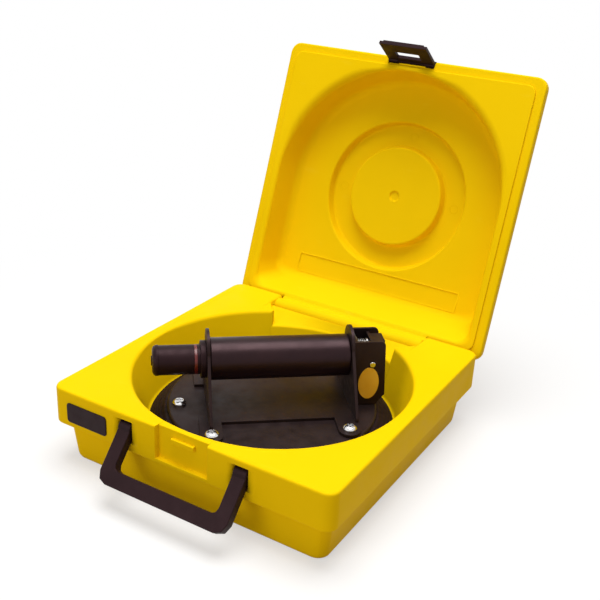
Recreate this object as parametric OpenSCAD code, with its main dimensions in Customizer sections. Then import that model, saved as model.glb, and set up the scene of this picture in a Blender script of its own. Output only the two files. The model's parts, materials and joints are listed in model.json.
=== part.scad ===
// Hand vacuum cup lifter in its moulded carrying case, lid open.
// Origin: centre of the case underside. +X along the hinge, +Y to the hinge side, +Z up. Millimetres.

/* [Case base] */
// Height of the base from its underside to the deck
base_h = 83; // [76:1:96]
// Height of the upper band above the step line
band_h = 39; // [36:1:42]
// Wall thickness of the moulded shells
wall = 3; // [2.4:0.1:3.4]
// Radius of the upright corners of the case
corner_r = 12; // [9:1:18]
// Rounding of the deck's outer edge
edge_r = 5; // [3:0.5:6]
// Step inwards from the band to the tub
tub_inset = 9; // [7:0.5:10]
// Further inset of the tub at its underside
tub_draft = 4; // [2:0.5:6]
// Deck left between the pocket mouth and each side
side_margin = 15; // [13:0.5:24]
// Deck left between the pocket mouth and the front
front_margin = 10.5; // [9.5:0.5:16]
// Deck left between the pocket mouth and the back
rear_margin = 23.5; // [22:0.5:30]

/* [Pocket] */
// Depth of the round pocket below the deck
pocket_depth = 56; // [52:1:60]
// Play between the suction pad and the pocket floor corner
pocket_clear = 2; // [1.5:0.5:4]
// Growth of the pocket radius from floor to mouth
pocket_flare = 14; // [12:0.5:17]
// Rounding of the pocket mouth
lip_r = 4; // [2:0.5:5]
// Width of the notch in the deck behind the pocket
notch_w = 190; // [180:1:196]
// Length of the notch from the back face
notch_l = 51; // [49:1:53]
// Depth of the notch below the deck
notch_drop = 20; // [20:0.5:22]

/* [Hinge] */
// Distance of the hinge axis from the back face
hinge_inset = 10; // [9.8:0.1:11]
// Distance of the hinge axis below the deck
hinge_drop = 10; // [9.8:0.1:11]
// Outer radius of the hinge rails and of the lid knuckle
knuckle_r = 9; // [8:0.1:9.2]
// Diameter of the hinge pin
hinge_pin_d = 6; // [4:0.5:7]
// Opening angle of the lid
lid_angle = 109; // [95:1:112]

/* [Lid] */
// Gap between the closed lid and the deck
lid_gap = 0.4; // [0.3:0.1:1]
// Overhang of the lid past the front of the base
lid_overhang = 1; // [0:0.5:2]
// Width of the strip round the lid's inner panel
strip_w = 10; // [9:0.5:12]
// Step from the inner panel back to the strip
strip_step = 2; // [1.5:0.5:3]
// Thickness of the lid's rim flange
flange_h = 10; // [8:0.5:12]
// Step inwards from the pocket mouth to the arch recess
arch_inset = 3; // [2:0.5:5]
// Draft of the arch recess from mouth to floor
arch_draft = 6; // [4:0.5:7]
// Slope of the arch recess at its hinge end
arch_end_slope = 22; // [16:1:26]
// Room between the closed lid and the lifter under it
lid_clear = 2; // [1.5:0.1:5]
// Room beside the uprights in the ring groove
ring_clear = 5.5; // [4.5:0.5:7]
// Diameter of the dimple in the middle of the lid
dimple_d = 11; // [8:1:16]

/* [Latch] */
// Width of the latch plate
latch_w = 57; // [50:1:64]
// Length of the latch plate from its pin
latch_l = 38; // [35:1:42]
// Thickness of the latch plate
latch_t = 3.5; // [3:0.1:4]
// Width of the latch window
window_w = 29; // [24:1:32]
// Length of the latch window
window_l = 12.5; // [11:0.5:13]
// Diameter of the latch pin
latch_pin_d = 3; // [2:0.5:4]
// Angle of the latch from the lid's plane
latch_angle = 73; // [30:1:90]

/* [Carry handle] */
// Outer width of the handle
bail_w = 144; // [130:1:160]
// Distance from the pivot to the middle of the bar
bail_l = 49; // [44:1:56]
// Width of each leg
bail_leg = 14; // [12:0.5:15]
// Height of the bar
bail_bar = 15; // [12:0.5:16]
// Thickness of the handle
bail_t = 10; // [8:0.5:10]
// Angle of the handle out from straight down
bail_angle = 40; // [35:1:45]
// Diameter of the handle pins
bail_pin_d = 5; // [4:0.5:6]
// Depth of the pivots below the deck
bail_drop = 16; // [15:0.5:18]

/* [Label plate] */
// Width of the label plate
label_w = 49.5; // [36:0.5:56]
// Height of the label plate
label_h = 21; // [16:0.5:26]
// Thickness of the label plate
label_t = 1.2; // [0.8:0.1:2]

/* [Suction cup] */
// Diameter of the suction pad
pad_d = 254; // [244:1:264]
// Height of the suction pad
pad_h = 15.7; // [14:0.1:18]
// Depth of the hollow under the pad
cavity_h = 8.5; // [6:0.5:9]
// Width of the sealing lip
lip_w = 14; // [10:0.5:17]
// Diameter of the plate over the pad
plate_d = 216; // [206:1:222]
// Thickness of the plate over the pad
plate_t = 5; // [4:0.5:6]
// Distance of the screws from the plate's edge
screw_edge = 12.3; // [10:0.1:14]
// Diameter of the plate screws
screw_d = 6; // [5:0.5:6.5]
// Diameter of the screw heads
screw_head_d = 13.8; // [11:0.1:14]
// Height of the screw heads
screw_head_h = 4.6; // [3:0.1:6]

/* [Lifter handle] */
// Turn of the lifter in its pocket
lifter_turn = 40.5; // [30:0.5:50]
// Height of the pump axis over the plate
axis_h = 50.5; // [47:0.5:54]
// Diameter of the grip
grip_d = 43; // [41:0.5:44]
// Length of the grip between the uprights
grip_l = 142; // [132:1:148]
// Shift of the grip towards the valve end
grip_shift = 5; // [2:0.5:7]
// Thickness of the uprights
upright_t = 3; // [2.5:0.5:5]
// Rise of the uprights above the pump axis
upright_rise = 32; // [31:0.5:36]
// Radius of the uprights' round tops
upright_top_r = 20; // [18.5:0.5:23]
// Half width of the uprights at their foot
foot_half = 56; // [46:1:58]
// Half width of the web between the uprights
web_half = 44; // [36:1:50]
// Thickness of the web
web_t = 3; // [2:0.5:4]

/* [Pump] */
// Outer diameter of the plunger
plunger_d = 30; // [27:0.5:31]
// Wall of the plunger tube
plunger_wall = 3; // [2:0.5:4]
// Travel of the plunger
plunger_travel = 38; // [30:1:38]
// Wall of the pump barrel
barrel_wall = 2; // [1.5:0.1:2.4]
// Thickness of the gland collar
gland_t = 6; // [4:0.5:7]
// Running clearance of round fits, on the radius
fit = 0.05; // [0.02:0.01:0.09]
// Length of the piston
piston_l = 8; // [7:0.5:12]
// Wire of the plunger spring
spring_wire = 2; // [1.6:0.1:2.4]
// Turns of the plunger spring
spring_turns = 12; // [8:1:14]

/* [Release valve] */
// Length of the guard beyond the upright
guard_l = 32; // [31:0.5:38]
// Clear width between the guard's cheeks
guard_gap = 29; // [27:0.5:33]
// Thickness of the guard
guard_t = 3; // [2:0.5:4]
// Rise of the guard above the pump axis
guard_rise = 22; // [21:0.5:22.5]
// Length of the valve block past the guard's web
block_l = 12; // [11:0.5:12.5]
// Height of the valve stem above the pump axis
stem_rise = 13; // [12.5:0.5:13.5]
// Diameter of the valve stem
stem_d = 5; // [4:0.5:5.5]
// Wire of the valve spring
valve_wire = 1.1; // [0.8:0.1:1.2]
// Turns of the valve spring
valve_turns = 4; // [3:1:4]
// Diameter of the lever pin
lever_pin_d = 4; // [3:0.5:4]
// Outer diameter of the vacuum pipe
pipe_d = 7; // [5:0.5:7]
// Width of the oval decal
decal_w = 21.5; // [14:0.5:24]
// Height of the oval decal
decal_h = 36; // [26:1:38]

/* [Hidden] */
$fn = 64;
eps = 1;
hull_fn = 32;

yellow = "#F2C40A";
black = "#1C1A1B";
rubber_black = "#262223";
steel = "#C9CACC";
chrome = "#DADCDE";
red = "#C8281E";
decal_orange = "#F2A81D";

// Pocket and case outline
floor_r = pad_d / 2 + pocket_clear;
mouth_r = floor_r + pocket_flare;
case_w = 2 * (mouth_r + side_margin);
case_d = 2 * mouth_r + front_margin + rear_margin;
front_y = -case_d / 2;
rear_y = case_d / 2;
pocket_y = front_y + front_margin + mouth_r;
band_z = base_h - band_h;
floor_z = base_h - pocket_depth;
sill_z = base_h - notch_drop;
hinge_y = rear_y - hinge_inset;
hinge_z = base_h - hinge_drop;
rail_r = min(hinge_inset, hinge_drop) - 0.4;
rail_bottom_z = sill_z - 1;
pin_end = case_w / 2 - 6;

// Lifter stack, bottom to top
seat_gap = 0.3;
pad_z = floor_z + seat_gap;
pad_top_z = pad_z + pad_h;
plate_z = pad_top_z + plate_t;
web_z = plate_z + web_t;
axis_z = plate_z + axis_h;
screw_r = plate_d / 2 - screw_edge;
ear = screw_r * cos(45);
ear_r = 11;
screw_hole_clear = 0.2;
screw_grip = 5;

// Lifter handle, measured along the pump axis from the pad's centre
left_in = grip_shift - grip_l / 2;
left_out = left_in - upright_t;
right_in = grip_shift + grip_l / 2;
right_out = right_in + upright_t;
barrel_id = plunger_d + 1;
barrel_d = barrel_id + 2 * barrel_wall;
gland_d = barrel_d + 3;
grip_end_gap = 0.2;
foot_h = 8;

// Plunger group
knob_l = 6;
knob_d = plunger_d + 1;
knob_gap = 3.5;
knob_tip = left_out - gland_t - plunger_travel - knob_gap - knob_l;
plunger_start = knob_tip + knob_l;
plunger_end = left_out + 30;
plunger_id = plunger_d - 2 * plunger_wall;
spigot_l = 8;
ring_w = 3;
ring_depth = 1;
ring_s = left_out - gland_t - 6;
seal_w = 3;
seal_depth = 2.5;

// Valve end
web_end = right_out + guard_t;
block_end = web_end + block_l;
block_half_h = 11;
plug_l = 17;
plug_start = right_out - plug_l;
neck_d = 18;
seat_s = web_end + 3;
pipe_s = web_end + block_l / 2;
stem_z = axis_z + stem_rise;
stem_start = web_end + 1;
spring_seat_gap = 0.3;
valve_spring_l = 8.4;
head_s = seat_s + valve_spring_l + 2 * spring_seat_gap;
head_t = 2;
head_d = 9;
nose_s = head_s + head_t + 0.6;
lever_gap = 0.6;
lever_s = nose_s + lever_gap;
lever_t = 3;
lever_half = guard_gap / 2 - 1;
lever_mid = lever_s + lever_t / 2;
lever_pin_z = axis_z - 3.5;
lever_boss_r = 4;
lever_top_z = axis_z + guard_rise - 3;
lever_tab_l = 12;
lever_tab_half = 9;
pin_head_d = 6;
pin_head_t = 1.2;
valve_mean_d = stem_d + valve_wire + 1.5;
decal_t = 0.3;
decal_s = web_end + 14;
decal_z = lever_pin_z - pin_head_d / 2 - 0.4 - decal_h / 2;
check_d = 12;
check_t = 2;

// Lid, measured in its closed place
panel_z = base_h + lid_gap;
strip_z = panel_z + strip_step;
flange_z = strip_z + flange_h;
lid_front_y = front_y - lid_overhang;
lid_rear_y = hinge_y;
lid_d = lid_rear_y - lid_front_y;
lid_mid_y = (lid_front_y + lid_rear_y) / 2;
lid_floor_z = axis_z + max(grip_d / 2, guard_rise) + lid_clear;
lid_ring_z = axis_z + upright_rise + lid_clear + 1;
arch_r = mouth_r - arch_inset;
arch_floor_r = arch_r - arch_draft;
arch_end_y = lid_rear_y - strip_w - 5;
arch_h = lid_floor_z - panel_z;
ring_in_r = -left_in - ring_clear - 3;
ring_out_r = norm([right_out, upright_top_r]) + ring_clear;
ledge_w = 1.5;
ledge_gap = 0.2;
shell_gap = 2;
shoulder_z = lid_floor_z + 2 * wall;
shoulder_half = arch_floor_r + 2 * wall + shell_gap;
crown_z = lid_ring_z + 2 * wall + 1;
crown_inset = 14;
flange_inset = 4;
rear_draft = 8;
frame_rib = 1.6;
frame_rise = 0.8;
frame_half_w = 106;
frame_d = 24;
frame_y = arch_end_y - arch_end_slope - 4;
knuckle_half = notch_w / 2 - 2;
knuckle_web_y = hinge_y - 8;
ramp_y = hinge_y - knuckle_r - 1.2;
ramp_low_z = sill_z + 3;
ramp_top_z = base_h - 6;
ramp_foot_y = ramp_y - 7.5;

// Latch, on the front edge of the lid
latch_pin_y = lid_front_y + 3.5;
latch_pin_z = strip_z + 2.6;
latch_knuckle_r = 4;
latch_waist_r = 3;
latch_waist_half = 17;
latch_room = latch_w / 2 + 0.7;
latch_pin_half = latch_room + 5;
window_start = 9.5;
latch_ridge = 1.2;
latch_panel_y = latch_pin_y + latch_t / 2 + 0.55;
latch_bay_z = latch_pin_z - latch_l - 1.5;
catch_half = window_w / 2 - 1.5;
catch_h = 5;
catch_z = latch_pin_z - window_start - window_l / 2 - catch_h / 2;
catch_proud = 3.1;

// Carry handle
bail_y = front_y + 5;
bail_z = base_h - bail_drop;
bail_knuckle_r = 7;
bail_side_gap = 1.2;
bail_x = bail_w / 2 - bail_leg / 2;
bail_chamfer = 9;
recess_in = bail_w / 2 - bail_leg - bail_side_gap;
recess_out = bail_w / 2 + bail_side_gap;
recess_deep = bail_y + bail_knuckle_r + 1;
recess_top = bail_z + bail_knuckle_r + 2;
bail_run = (bail_y + bail_t / 2 * cos(bail_angle) - front_y) / sin(bail_angle);
recess_bottom = bail_z - bail_t / 2 * sin(bail_angle) - bail_run * cos(bail_angle) - 0.4;

// Label plate
label_x = -case_w / 2 + 20.5;
label_z = band_z + 6;
label_r = 3.5;

// Shared shapes
module rounded_rect(w, d, r) {
    square([w - 2 * r, d], center = true);
    square([w, d - 2 * r], center = true);
    for (x = [-1, 1], y = [-1, 1])
        translate([x * (w / 2 - r), y * (d / 2 - r)])
            circle(r);
}

module slab(w, d, r, z0, z1) {
    translate([0, 0, z0])
        linear_extrude(z1 - z0)
            rounded_rect(w, d, r);
}

// A box from its two corners
module block(low, high) {
    translate(low)
        cube(high - low);
}

// A profile drawn in the Y-Z plane, drawn out along X
module along_x(x0, x1) {
    translate([x0, 0, 0])
        rotate([90, 0, 90])
            linear_extrude(x1 - x0)
                children();
}

// A profile drawn in the X-Z plane, drawn out along Y
module along_y(y0, y1) {
    translate([0, y1, 0])
        rotate([90, 0, 0])
            linear_extrude(y1 - y0)
                children();
}

module rod_x(d, x0, x1, y, z) {
    translate([x0, y, z])
        rotate([0, 90, 0])
            cylinder(d = d, h = x1 - x0);
}

// A helix along X as one unbroken tube
module helix(mean_d, wire, length, turns) {
    steps = 8;
    sides = 6;
    last = turns * steps;
    run = length - wire;
    function middle(i) = wire / 2 + run * i / last;
    points = [for (i = [0:last], k = [0:sides - 1])
        let (a = 360 * i / steps, b = 360 * k / sides, r = mean_d / 2 + wire / 2 * cos(b))
            [middle(i) + wire / 2 * sin(b), r * cos(a), r * sin(a)]];
    skin = [for (i = [0:last - 1], k = [0:sides - 1], half = [0, 1])
        let (a = i * sides + k, b = i * sides + (k + 1) % sides)
            half == 0 ? [a, b, a + sides] : [b, b + sides, a + sides]];
    first_cap = [for (k = [1:sides - 2]) [0, k + 1, k]];
    end = last * sides;
    end_cap = [for (k = [1:sides - 2]) [end, end + k, end + k + 1]];
    polyhedron(points, concat(skin, first_cap, end_cap));
    turn = steps * sides;
    gaps = [for (a = [0:sides - 1], b = [0:sides - 1]) norm(points[a] - points[turn + b])];
    echo(least_turn_gap = min(gaps));
}

// Carriers: the lid in its open place and the lifter in the pocket
module lid_open() {
    translate([0, hinge_y, hinge_z])
        rotate([-lid_angle, 0, 0])
            translate([0, -hinge_y, -hinge_z])
                children();
}

module at_lifter() {
    translate([0, pocket_y, 0])
        rotate([0, 0, lifter_turn])
            children();
}

// A rod on the pump axis, from one station to another
module pump_rod(d, s0, s1) {
    rod_x(d, s0, s1, 0, axis_z);
}

// Pocket shapes
function pocket_r(z) = floor_r + pocket_flare * (z - floor_z) / pocket_depth;

module pocket_void() {
    lip_z = base_h - lip_r;
    lip_steps = 4;
    lip = [for (i = [0:lip_steps])
        let (a = 90 * i / lip_steps)
            [pocket_r(lip_z) + lip_r * (1 - cos(a)), lip_z + lip_r * sin(a)]];
    foot_r = 3;
    translate([0, pocket_y, 0])
        rotate_extrude($fn = 128)
            polygon(concat(
                [[0, floor_z], [floor_r - foot_r, floor_z], [pocket_r(floor_z + foot_r), floor_z + foot_r]],
                lip,
                [[pocket_r(lip_z) + lip_r, base_h + eps], [0, base_h + eps]]));
}

module pocket_skin() {
    top = base_h - 1;
    translate([0, pocket_y, 0])
        rotate_extrude($fn = 128)
            polygon([
                [0, floor_z - wall],
                [floor_r + wall - 2, floor_z - wall],
                [floor_r + wall, floor_z],
                [pocket_r(top) + wall, top],
                [0, top]]);
}

module notch_void() {
    corner = 20;
    reach = notch_l + 2 * corner;
    difference() {
        translate([0, rear_y - notch_l + reach / 2, sill_z])
            linear_extrude(notch_drop + eps)
                rounded_rect(notch_w, reach, corner);
        along_x(-case_w, case_w)
            polygon([[rear_y - notch_l - 1, sill_z - 1], [rear_y - notch_l - 1, ramp_low_z],
                     [ramp_foot_y, ramp_low_z], [ramp_y, ramp_top_z], [ramp_y, sill_z - 1]]);
    }
}

// Base tray: deck, band, pocket and the places that carry the hinge, handle and latch
module band_outer() {
    bevel = 0.6 * edge_r;
    hull() {
        slab(case_w, case_d, corner_r, band_z, base_h - edge_r, $fn = hull_fn);
        slab(case_w - bevel, case_d - bevel, corner_r, band_z, base_h - 0.35 * edge_r, $fn = hull_fn);
        slab(case_w - 2 * edge_r, case_d - 2 * edge_r, corner_r, band_z, base_h, $fn = hull_fn);
    }
}

module band_skin() {
    opening = tub_inset + wall;
    inner_r = corner_r - wall;
    difference() {
        band_outer();
        slab(case_w - 2 * wall, case_d - 2 * wall, inner_r, band_z + wall, base_h - wall);
        slab(case_w - 2 * opening, case_d - 2 * opening, inner_r, band_z - eps, band_z + wall + eps);
        block([-case_w, hinge_y - rail_r + 2, sill_z], [case_w, case_d, base_h + eps]);
    }
}

module notch_skin() {
    half = notch_w / 2 + wall;
    rail_y = hinge_y - rail_r;
    difference() {
        block([-half, rear_y - notch_l - wall, sill_z - wall], [half, rail_y + 2, base_h - 1]);
        block([-notch_w / 2, rear_y - notch_l, sill_z - 2 * wall],
              [notch_w / 2, ramp_foot_y - 1, ramp_low_z - wall]);
    }
    block([-half, rail_y, sill_z - wall], [half, rear_y - 1, sill_z]);
}

module hinge_rails() {
    intersection() {
        for (side = [-1, 1])
            along_x(min(side * notch_w / 2, side * case_w / 2), max(side * notch_w / 2, side * case_w / 2)) {
                translate([hinge_y, hinge_z])
                    circle(rail_r);
                translate([hinge_y - rail_r, rail_bottom_z])
                    square([2 * rail_r, hinge_z - rail_bottom_z]);
                translate([hinge_y - rail_r, hinge_z - eps])
                    square([rail_r, rail_r + eps]);
            }
        slab(case_w, case_d, corner_r, band_z, base_h);
    }
}

module bail_boxes() {
    for (side = [0, 1])
        mirror([side, 0, 0])
            block([recess_in - wall, front_y + 1, recess_bottom - wall],
                  [recess_out + wall, recess_deep + wall, recess_top + wall]);
}

module bail_voids() {
    for (side = [0, 1])
        mirror([side, 0, 0])
            block([recess_in, front_y - eps, recess_bottom], [recess_out, recess_deep, recess_top]);
    rod_x(bail_pin_d + 2 * fit, -recess_out - wall - eps, recess_out + wall + eps, bail_y, bail_z);
}

module latch_bay() {
    block([-latch_room - wall, front_y + 1, latch_bay_z - wall],
          [latch_room + wall, latch_panel_y + wall, base_h - 1]);
}

module latch_bay_void() {
    block([-latch_room, front_y - 1, latch_bay_z], [latch_room, latch_panel_y, base_h + 1]);
}

module latch_catch() {
    block([-catch_half, latch_panel_y - catch_proud, catch_z],
          [catch_half, latch_panel_y + 1, catch_z + catch_h]);
}

module base_tray() {
    color(yellow) {
        difference() {
            union() {
                band_skin();
                pocket_skin();
                notch_skin();
                hinge_rails();
                bail_boxes();
                latch_bay();
            }
            pocket_void();
            notch_void();
            bail_voids();
            latch_bay_void();
            rod_x(hinge_pin_d + 2 * fit, -pin_end - fit, pin_end + fit, hinge_y, hinge_z);
        }
        latch_catch();
    }
}

// Base tub: the lower body, with a ring rib under the pocket floor
module tub_form(inset, z0) {
    low = 2 * (tub_inset + tub_draft + inset);
    high = 2 * (tub_inset + inset);
    layer = 0.5;
    foot_r = 5;
    hull() {
        slab(case_w - low - 2 * foot_r, case_d - low - 2 * foot_r, corner_r, z0, z0 + layer, $fn = hull_fn);
        slab(case_w - low, case_d - low, corner_r, z0 + foot_r, z0 + foot_r + layer, $fn = hull_fn);
        slab(case_w - high, case_d - high, corner_r, band_z - layer, band_z + inset / 2, $fn = hull_fn);
    }
}

module base_tub() {
    rib_r = floor_r / 2;
    color(yellow) {
        difference() {
            tub_form(0, 0);
            tub_form(wall, wall);
        }
        translate([0, pocket_y, wall - 0.5])
            difference() {
                cylinder(r = rib_r, h = floor_z - 2 * wall + 0.5);
                translate([0, 0, -eps])
                    cylinder(r = rib_r - wall, h = floor_z);
            }
    }
}

// Lid shell: rim flange, tapered crown, hinge knuckle and the recess for the latch
module lid_slab(inset, z0, z1, r) {
    translate([0, lid_mid_y, 0])
        slab(case_w - 2 * inset, lid_d - 2 * inset, r, z0, z1, $fn = hull_fn);
}

module crown_layer(half, y0, y1, z) {
    layer = 0.5;
    translate([0, (y0 + y1) / 2, 0])
        slab(2 * half, y1 - y0, corner_r, z - layer, z, $fn = hull_fn);
}

module crown_form(inset) {
    half = case_w / 2 - flange_inset - inset;
    shoulder = shoulder_half - inset;
    shoulder_front = pocket_y - shoulder_half + inset;
    shoulder_rear = lid_rear_y - flange_inset - rear_draft - inset;
    hull() {
        crown_layer(half, lid_front_y + flange_inset + inset, lid_rear_y - flange_inset - inset, flange_z);
        crown_layer(shoulder, shoulder_front, shoulder_rear, shoulder_z - inset);
        crown_layer(shoulder - crown_inset, shoulder_front + crown_inset,
                    shoulder_rear - crown_inset, crown_z - inset);
    }
}

module flange_form() {
    hull() {
        lid_slab(1.2, strip_z, flange_z, corner_r);
        lid_slab(0, strip_z + 1.5, flange_z - 3, corner_r);
    }
}

module lid_shell() {
    opening = strip_w + ledge_w;
    color(yellow)
        lid_open()
            difference() {
                union() {
                    flange_form();
                    crown_form(0);
                    rod_x(2 * knuckle_r, -knuckle_half, knuckle_half, hinge_y, hinge_z);
                    block([-knuckle_half, knuckle_web_y, hinge_z], [knuckle_half, lid_rear_y, strip_z + 2]);
                }
                lid_slab(opening, strip_z - eps, flange_z, corner_r - 3);
                crown_form(wall);
                rod_x(hinge_pin_d + 2 * fit, -case_w, case_w, hinge_y, hinge_z);
                latch_recess();
                rod_x(latch_pin_d + 2 * fit, -latch_pin_half - fit, latch_pin_half + fit,
                      latch_pin_y, latch_pin_z);
            }
}

module latch_recess() {
    block([-latch_room, lid_front_y - 1, strip_z - 1],
          [latch_room, lid_front_y + flange_inset, flange_z + eps]);
    block([-latch_room, lid_front_y, strip_z - 1],
          [latch_room, latch_pin_y + latch_knuckle_r + 0.6, flange_z - 1.5]);
}

// Lid panel: face, arch recess, ring groove, dimple and a plain raised frame
module recess_form(grow) {
    top = arch_h + grow;
    translate([0, 0, panel_z]) {
        translate([0, pocket_y, 0])
            rotate_extrude($fn = 128)
                polygon([[0, -eps], [arch_r + grow, -eps], [arch_r + grow, 0],
                         [arch_floor_r + grow, top], [0, top]]);
        intersection() {
            along_y(pocket_y, lid_rear_y)
                polygon([[-arch_r - grow, -eps], [arch_r + grow, -eps], [arch_r + grow, 0],
                         [arch_floor_r + grow, top], [-arch_floor_r - grow, top], [-arch_r - grow, 0]]);
            along_x(-case_w, case_w)
                polygon([[pocket_y - eps, -eps], [arch_end_y + grow, -eps], [arch_end_y + grow, 0],
                         [arch_end_y - arch_end_slope + grow, top], [pocket_y - eps, top]]);
        }
    }
}

module ring_form(grow, z0) {
    draft = 2;
    translate([0, pocket_y, 0])
        rotate_extrude($fn = 128)
            polygon([[ring_in_r - grow, z0], [ring_out_r + grow, z0],
                     [ring_out_r - draft + grow, lid_ring_z + grow],
                     [ring_in_r + draft - grow, lid_ring_z + grow]]);
}

module panel_plate(inset, z0, z1) {
    lid_slab(strip_w + inset, z0, z1, corner_r - 3);
}

module raised_frame() {
    difference() {
        block([-frame_half_w, frame_y - frame_d, lid_floor_z - frame_rise],
              [frame_half_w, frame_y, lid_floor_z + 1]);
        block([-frame_half_w + frame_rib, frame_y - frame_d + frame_rib, lid_floor_z - frame_rise - eps],
              [frame_half_w - frame_rib, frame_y - frame_rib, lid_floor_z + 2]);
    }
}

module lid_panel() {
    dimple_h = wall - 1;
    color(yellow)
        lid_open() {
            difference() {
                union() {
                    panel_plate(0, panel_z, strip_z);
                    panel_plate(ledge_w + ledge_gap, strip_z, strip_z + wall);
                    difference() {
                        recess_form(wall);
                        block([-case_w, -case_d, panel_z - 2 * eps], [case_w, case_d, panel_z + 0.5]);
                    }
                    ring_form(wall, lid_floor_z);
                }
                recess_form(0);
                ring_form(0, lid_floor_z - eps);
                translate([0, pocket_y, lid_floor_z - eps])
                    cylinder(d = dimple_d, h = dimple_h + eps);
            }
            raised_frame();
        }
}

module hinge_pin() {
    color(steel)
        rod_x(hinge_pin_d, -pin_end, pin_end, hinge_y, hinge_z);
}

// Latch: plate with a window, a waisted knuckle and a finger ridge
module latch_plate() {
    difference() {
        union() {
            block([-latch_w / 2, -latch_l, -latch_t / 2], [latch_w / 2, 0, latch_t / 2]);
            rod_x(2 * latch_waist_r, -latch_waist_half - 1, latch_waist_half + 1, 0, 0);
            for (side = [0, 1])
                mirror([side, 0, 0])
                    rod_x(2 * latch_knuckle_r, latch_waist_half, latch_w / 2, 0, 0);
            block([-latch_w / 2 + 4, -latch_l, 0],
                  [latch_w / 2 - 4, -latch_l + latch_ridge, latch_t / 2 + latch_ridge]);
        }
        block([-window_w / 2, -window_start - window_l, -latch_t], [window_w / 2, -window_start, latch_t]);
        rod_x(latch_pin_d + 2 * fit, -latch_w, latch_w, 0, 0);
    }
}

module latch() {
    color(black)
        lid_open()
            translate([0, latch_pin_y, latch_pin_z])
                rotate([latch_angle, 0, 0])
                    latch_plate();
}

module latch_pin() {
    color(steel)
        lid_open()
            rod_x(latch_pin_d, -latch_pin_half, latch_pin_half, latch_pin_y, latch_pin_z);
}

// Carry handle: a bail drawn hanging, then swung out to its rest
module bail_outline() {
    half = bail_w / 2;
    bottom = -bail_l - bail_bar / 2;
    inner = half - bail_leg;
    inner_bottom = bottom + bail_bar;
    inner_chamfer = 5;
    bend = 1.2;
    nick = 0.35 * bail_chamfer;
    inner_nick = 0.35 * inner_chamfer;
    polygon([
        [-half, 0], [-half, bottom + bend * bail_chamfer], [-half + nick, bottom + nick],
        [-half + bend * bail_chamfer, bottom], [half - bend * bail_chamfer, bottom],
        [half - nick, bottom + nick], [half, bottom + bend * bail_chamfer], [half, 0],
        [inner, 0], [inner, inner_bottom + bend * inner_chamfer],
        [inner - inner_nick, inner_bottom + inner_nick], [inner - bend * inner_chamfer, inner_bottom],
        [-inner + bend * inner_chamfer, inner_bottom], [-inner + inner_nick, inner_bottom + inner_nick],
        [-inner, inner_bottom + bend * inner_chamfer], [-inner, 0]]);
}

module carry_handle() {
    color(black)
        translate([0, bail_y, bail_z])
            rotate([-bail_angle, 0, 0])
                difference() {
                    union() {
                        along_y(-bail_t / 2, bail_t / 2)
                            bail_outline();
                        for (side = [-1, 1])
                            translate([side * bail_x, 0, 0])
                                rod_x(2 * bail_knuckle_r, -bail_leg / 2, bail_leg / 2, 0, 0);
                    }
                    rod_x(bail_pin_d + 2 * fit, -bail_w, bail_w, 0, 0);
                }
}

module handle_pins() {
    color(steel)
        for (side = [0, 1])
            mirror([side, 0, 0])
                rod_x(bail_pin_d, recess_in - wall + 0.3, recess_out + wall - 0.3, bail_y, bail_z);
}

module label_plate() {
    color(black)
        translate([label_x + label_w / 2, 0, label_z + label_h / 2])
            along_y(front_y - label_t, front_y)
                rounded_rect(label_w, label_h, label_r);
}

// Suction cup
function screw_turns() = [45, 135, 180, 225, 315];
function on_ear(turn) = turn % 90 != 0;

module suction_pad() {
    pad_r = pad_d / 2;
    shoulder_r = plate_d / 2 + 3;
    cavity_z = pad_z + cavity_h;
    color(rubber_black)
        at_lifter()
            difference() {
                rotate_extrude($fn = 128)
                    polygon([
                        [0, cavity_z], [pad_r - lip_w - cavity_h, cavity_z], [pad_r - lip_w, pad_z],
                        [pad_r - 1, pad_z], [pad_r, pad_z + 1], [pad_r, pad_z + 3], [pad_r - 2, pad_z + 5],
                        [shoulder_r, pad_top_z - 1.5], [shoulder_r - 1.5, pad_top_z], [0, pad_top_z]]);
                for (turn = screw_turns())
                    translate([screw_r * cos(turn), screw_r * sin(turn), pad_top_z - screw_grip])
                        cylinder(d = screw_d + 2 * fit, h = screw_grip + eps);
                translate([pipe_s, 0, pad_z])
                    cylinder(d = pipe_d + 2 * fit, h = pad_h + eps);
            }
}

module cup_plate() {
    color(black)
        at_lifter()
            difference() {
                translate([0, 0, pad_top_z])
                    rotate_extrude($fn = 128)
                        polygon([[0, 0], [plate_d / 2, 0], [plate_d / 2, plate_t - 1.5],
                                 [plate_d / 2 - 1.5, plate_t], [0, plate_t]]);
                for (turn = screw_turns())
                    translate([screw_r * cos(turn), screw_r * sin(turn), pad_top_z - eps])
                        cylinder(d = screw_d + 2 * screw_hole_clear, h = plate_t + 2 * eps);
                translate([pipe_s, 0, pad_top_z - eps])
                    cylinder(d = pipe_d + 2 * fit, h = plate_t + 2 * eps);
            }
}

module screw(shank) {
    cross_l = 0.55 * screw_head_d;
    cross_w = 1.8;
    cross_h = 1.6;
    difference() {
        union() {
            rotate_extrude()
                polygon([[0, 0], [screw_head_d / 2, 0], [screw_head_d / 2, 0.45 * screw_head_h],
                         [0.42 * screw_head_d, 0.75 * screw_head_h], [0.28 * screw_head_d, screw_head_h],
                         [0, screw_head_h]]);
            translate([0, 0, -shank])
                cylinder(d = screw_d, h = shank + 0.5);
        }
        for (turn = [0, 90])
            rotate([0, 0, turn])
                translate([0, 0, screw_head_h])
                    cube([cross_l, cross_w, 2 * cross_h], center = true);
    }
}

module plate_screws() {
    color(chrome)
        at_lifter()
            for (turn = screw_turns())
                translate([screw_r * cos(turn), screw_r * sin(turn), on_ear(turn) ? web_z : plate_z])
                    rotate([0, 0, 3 * turn])
                        screw(plate_t + screw_grip - 0.3 + (on_ear(turn) ? web_t : 0));
}

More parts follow.
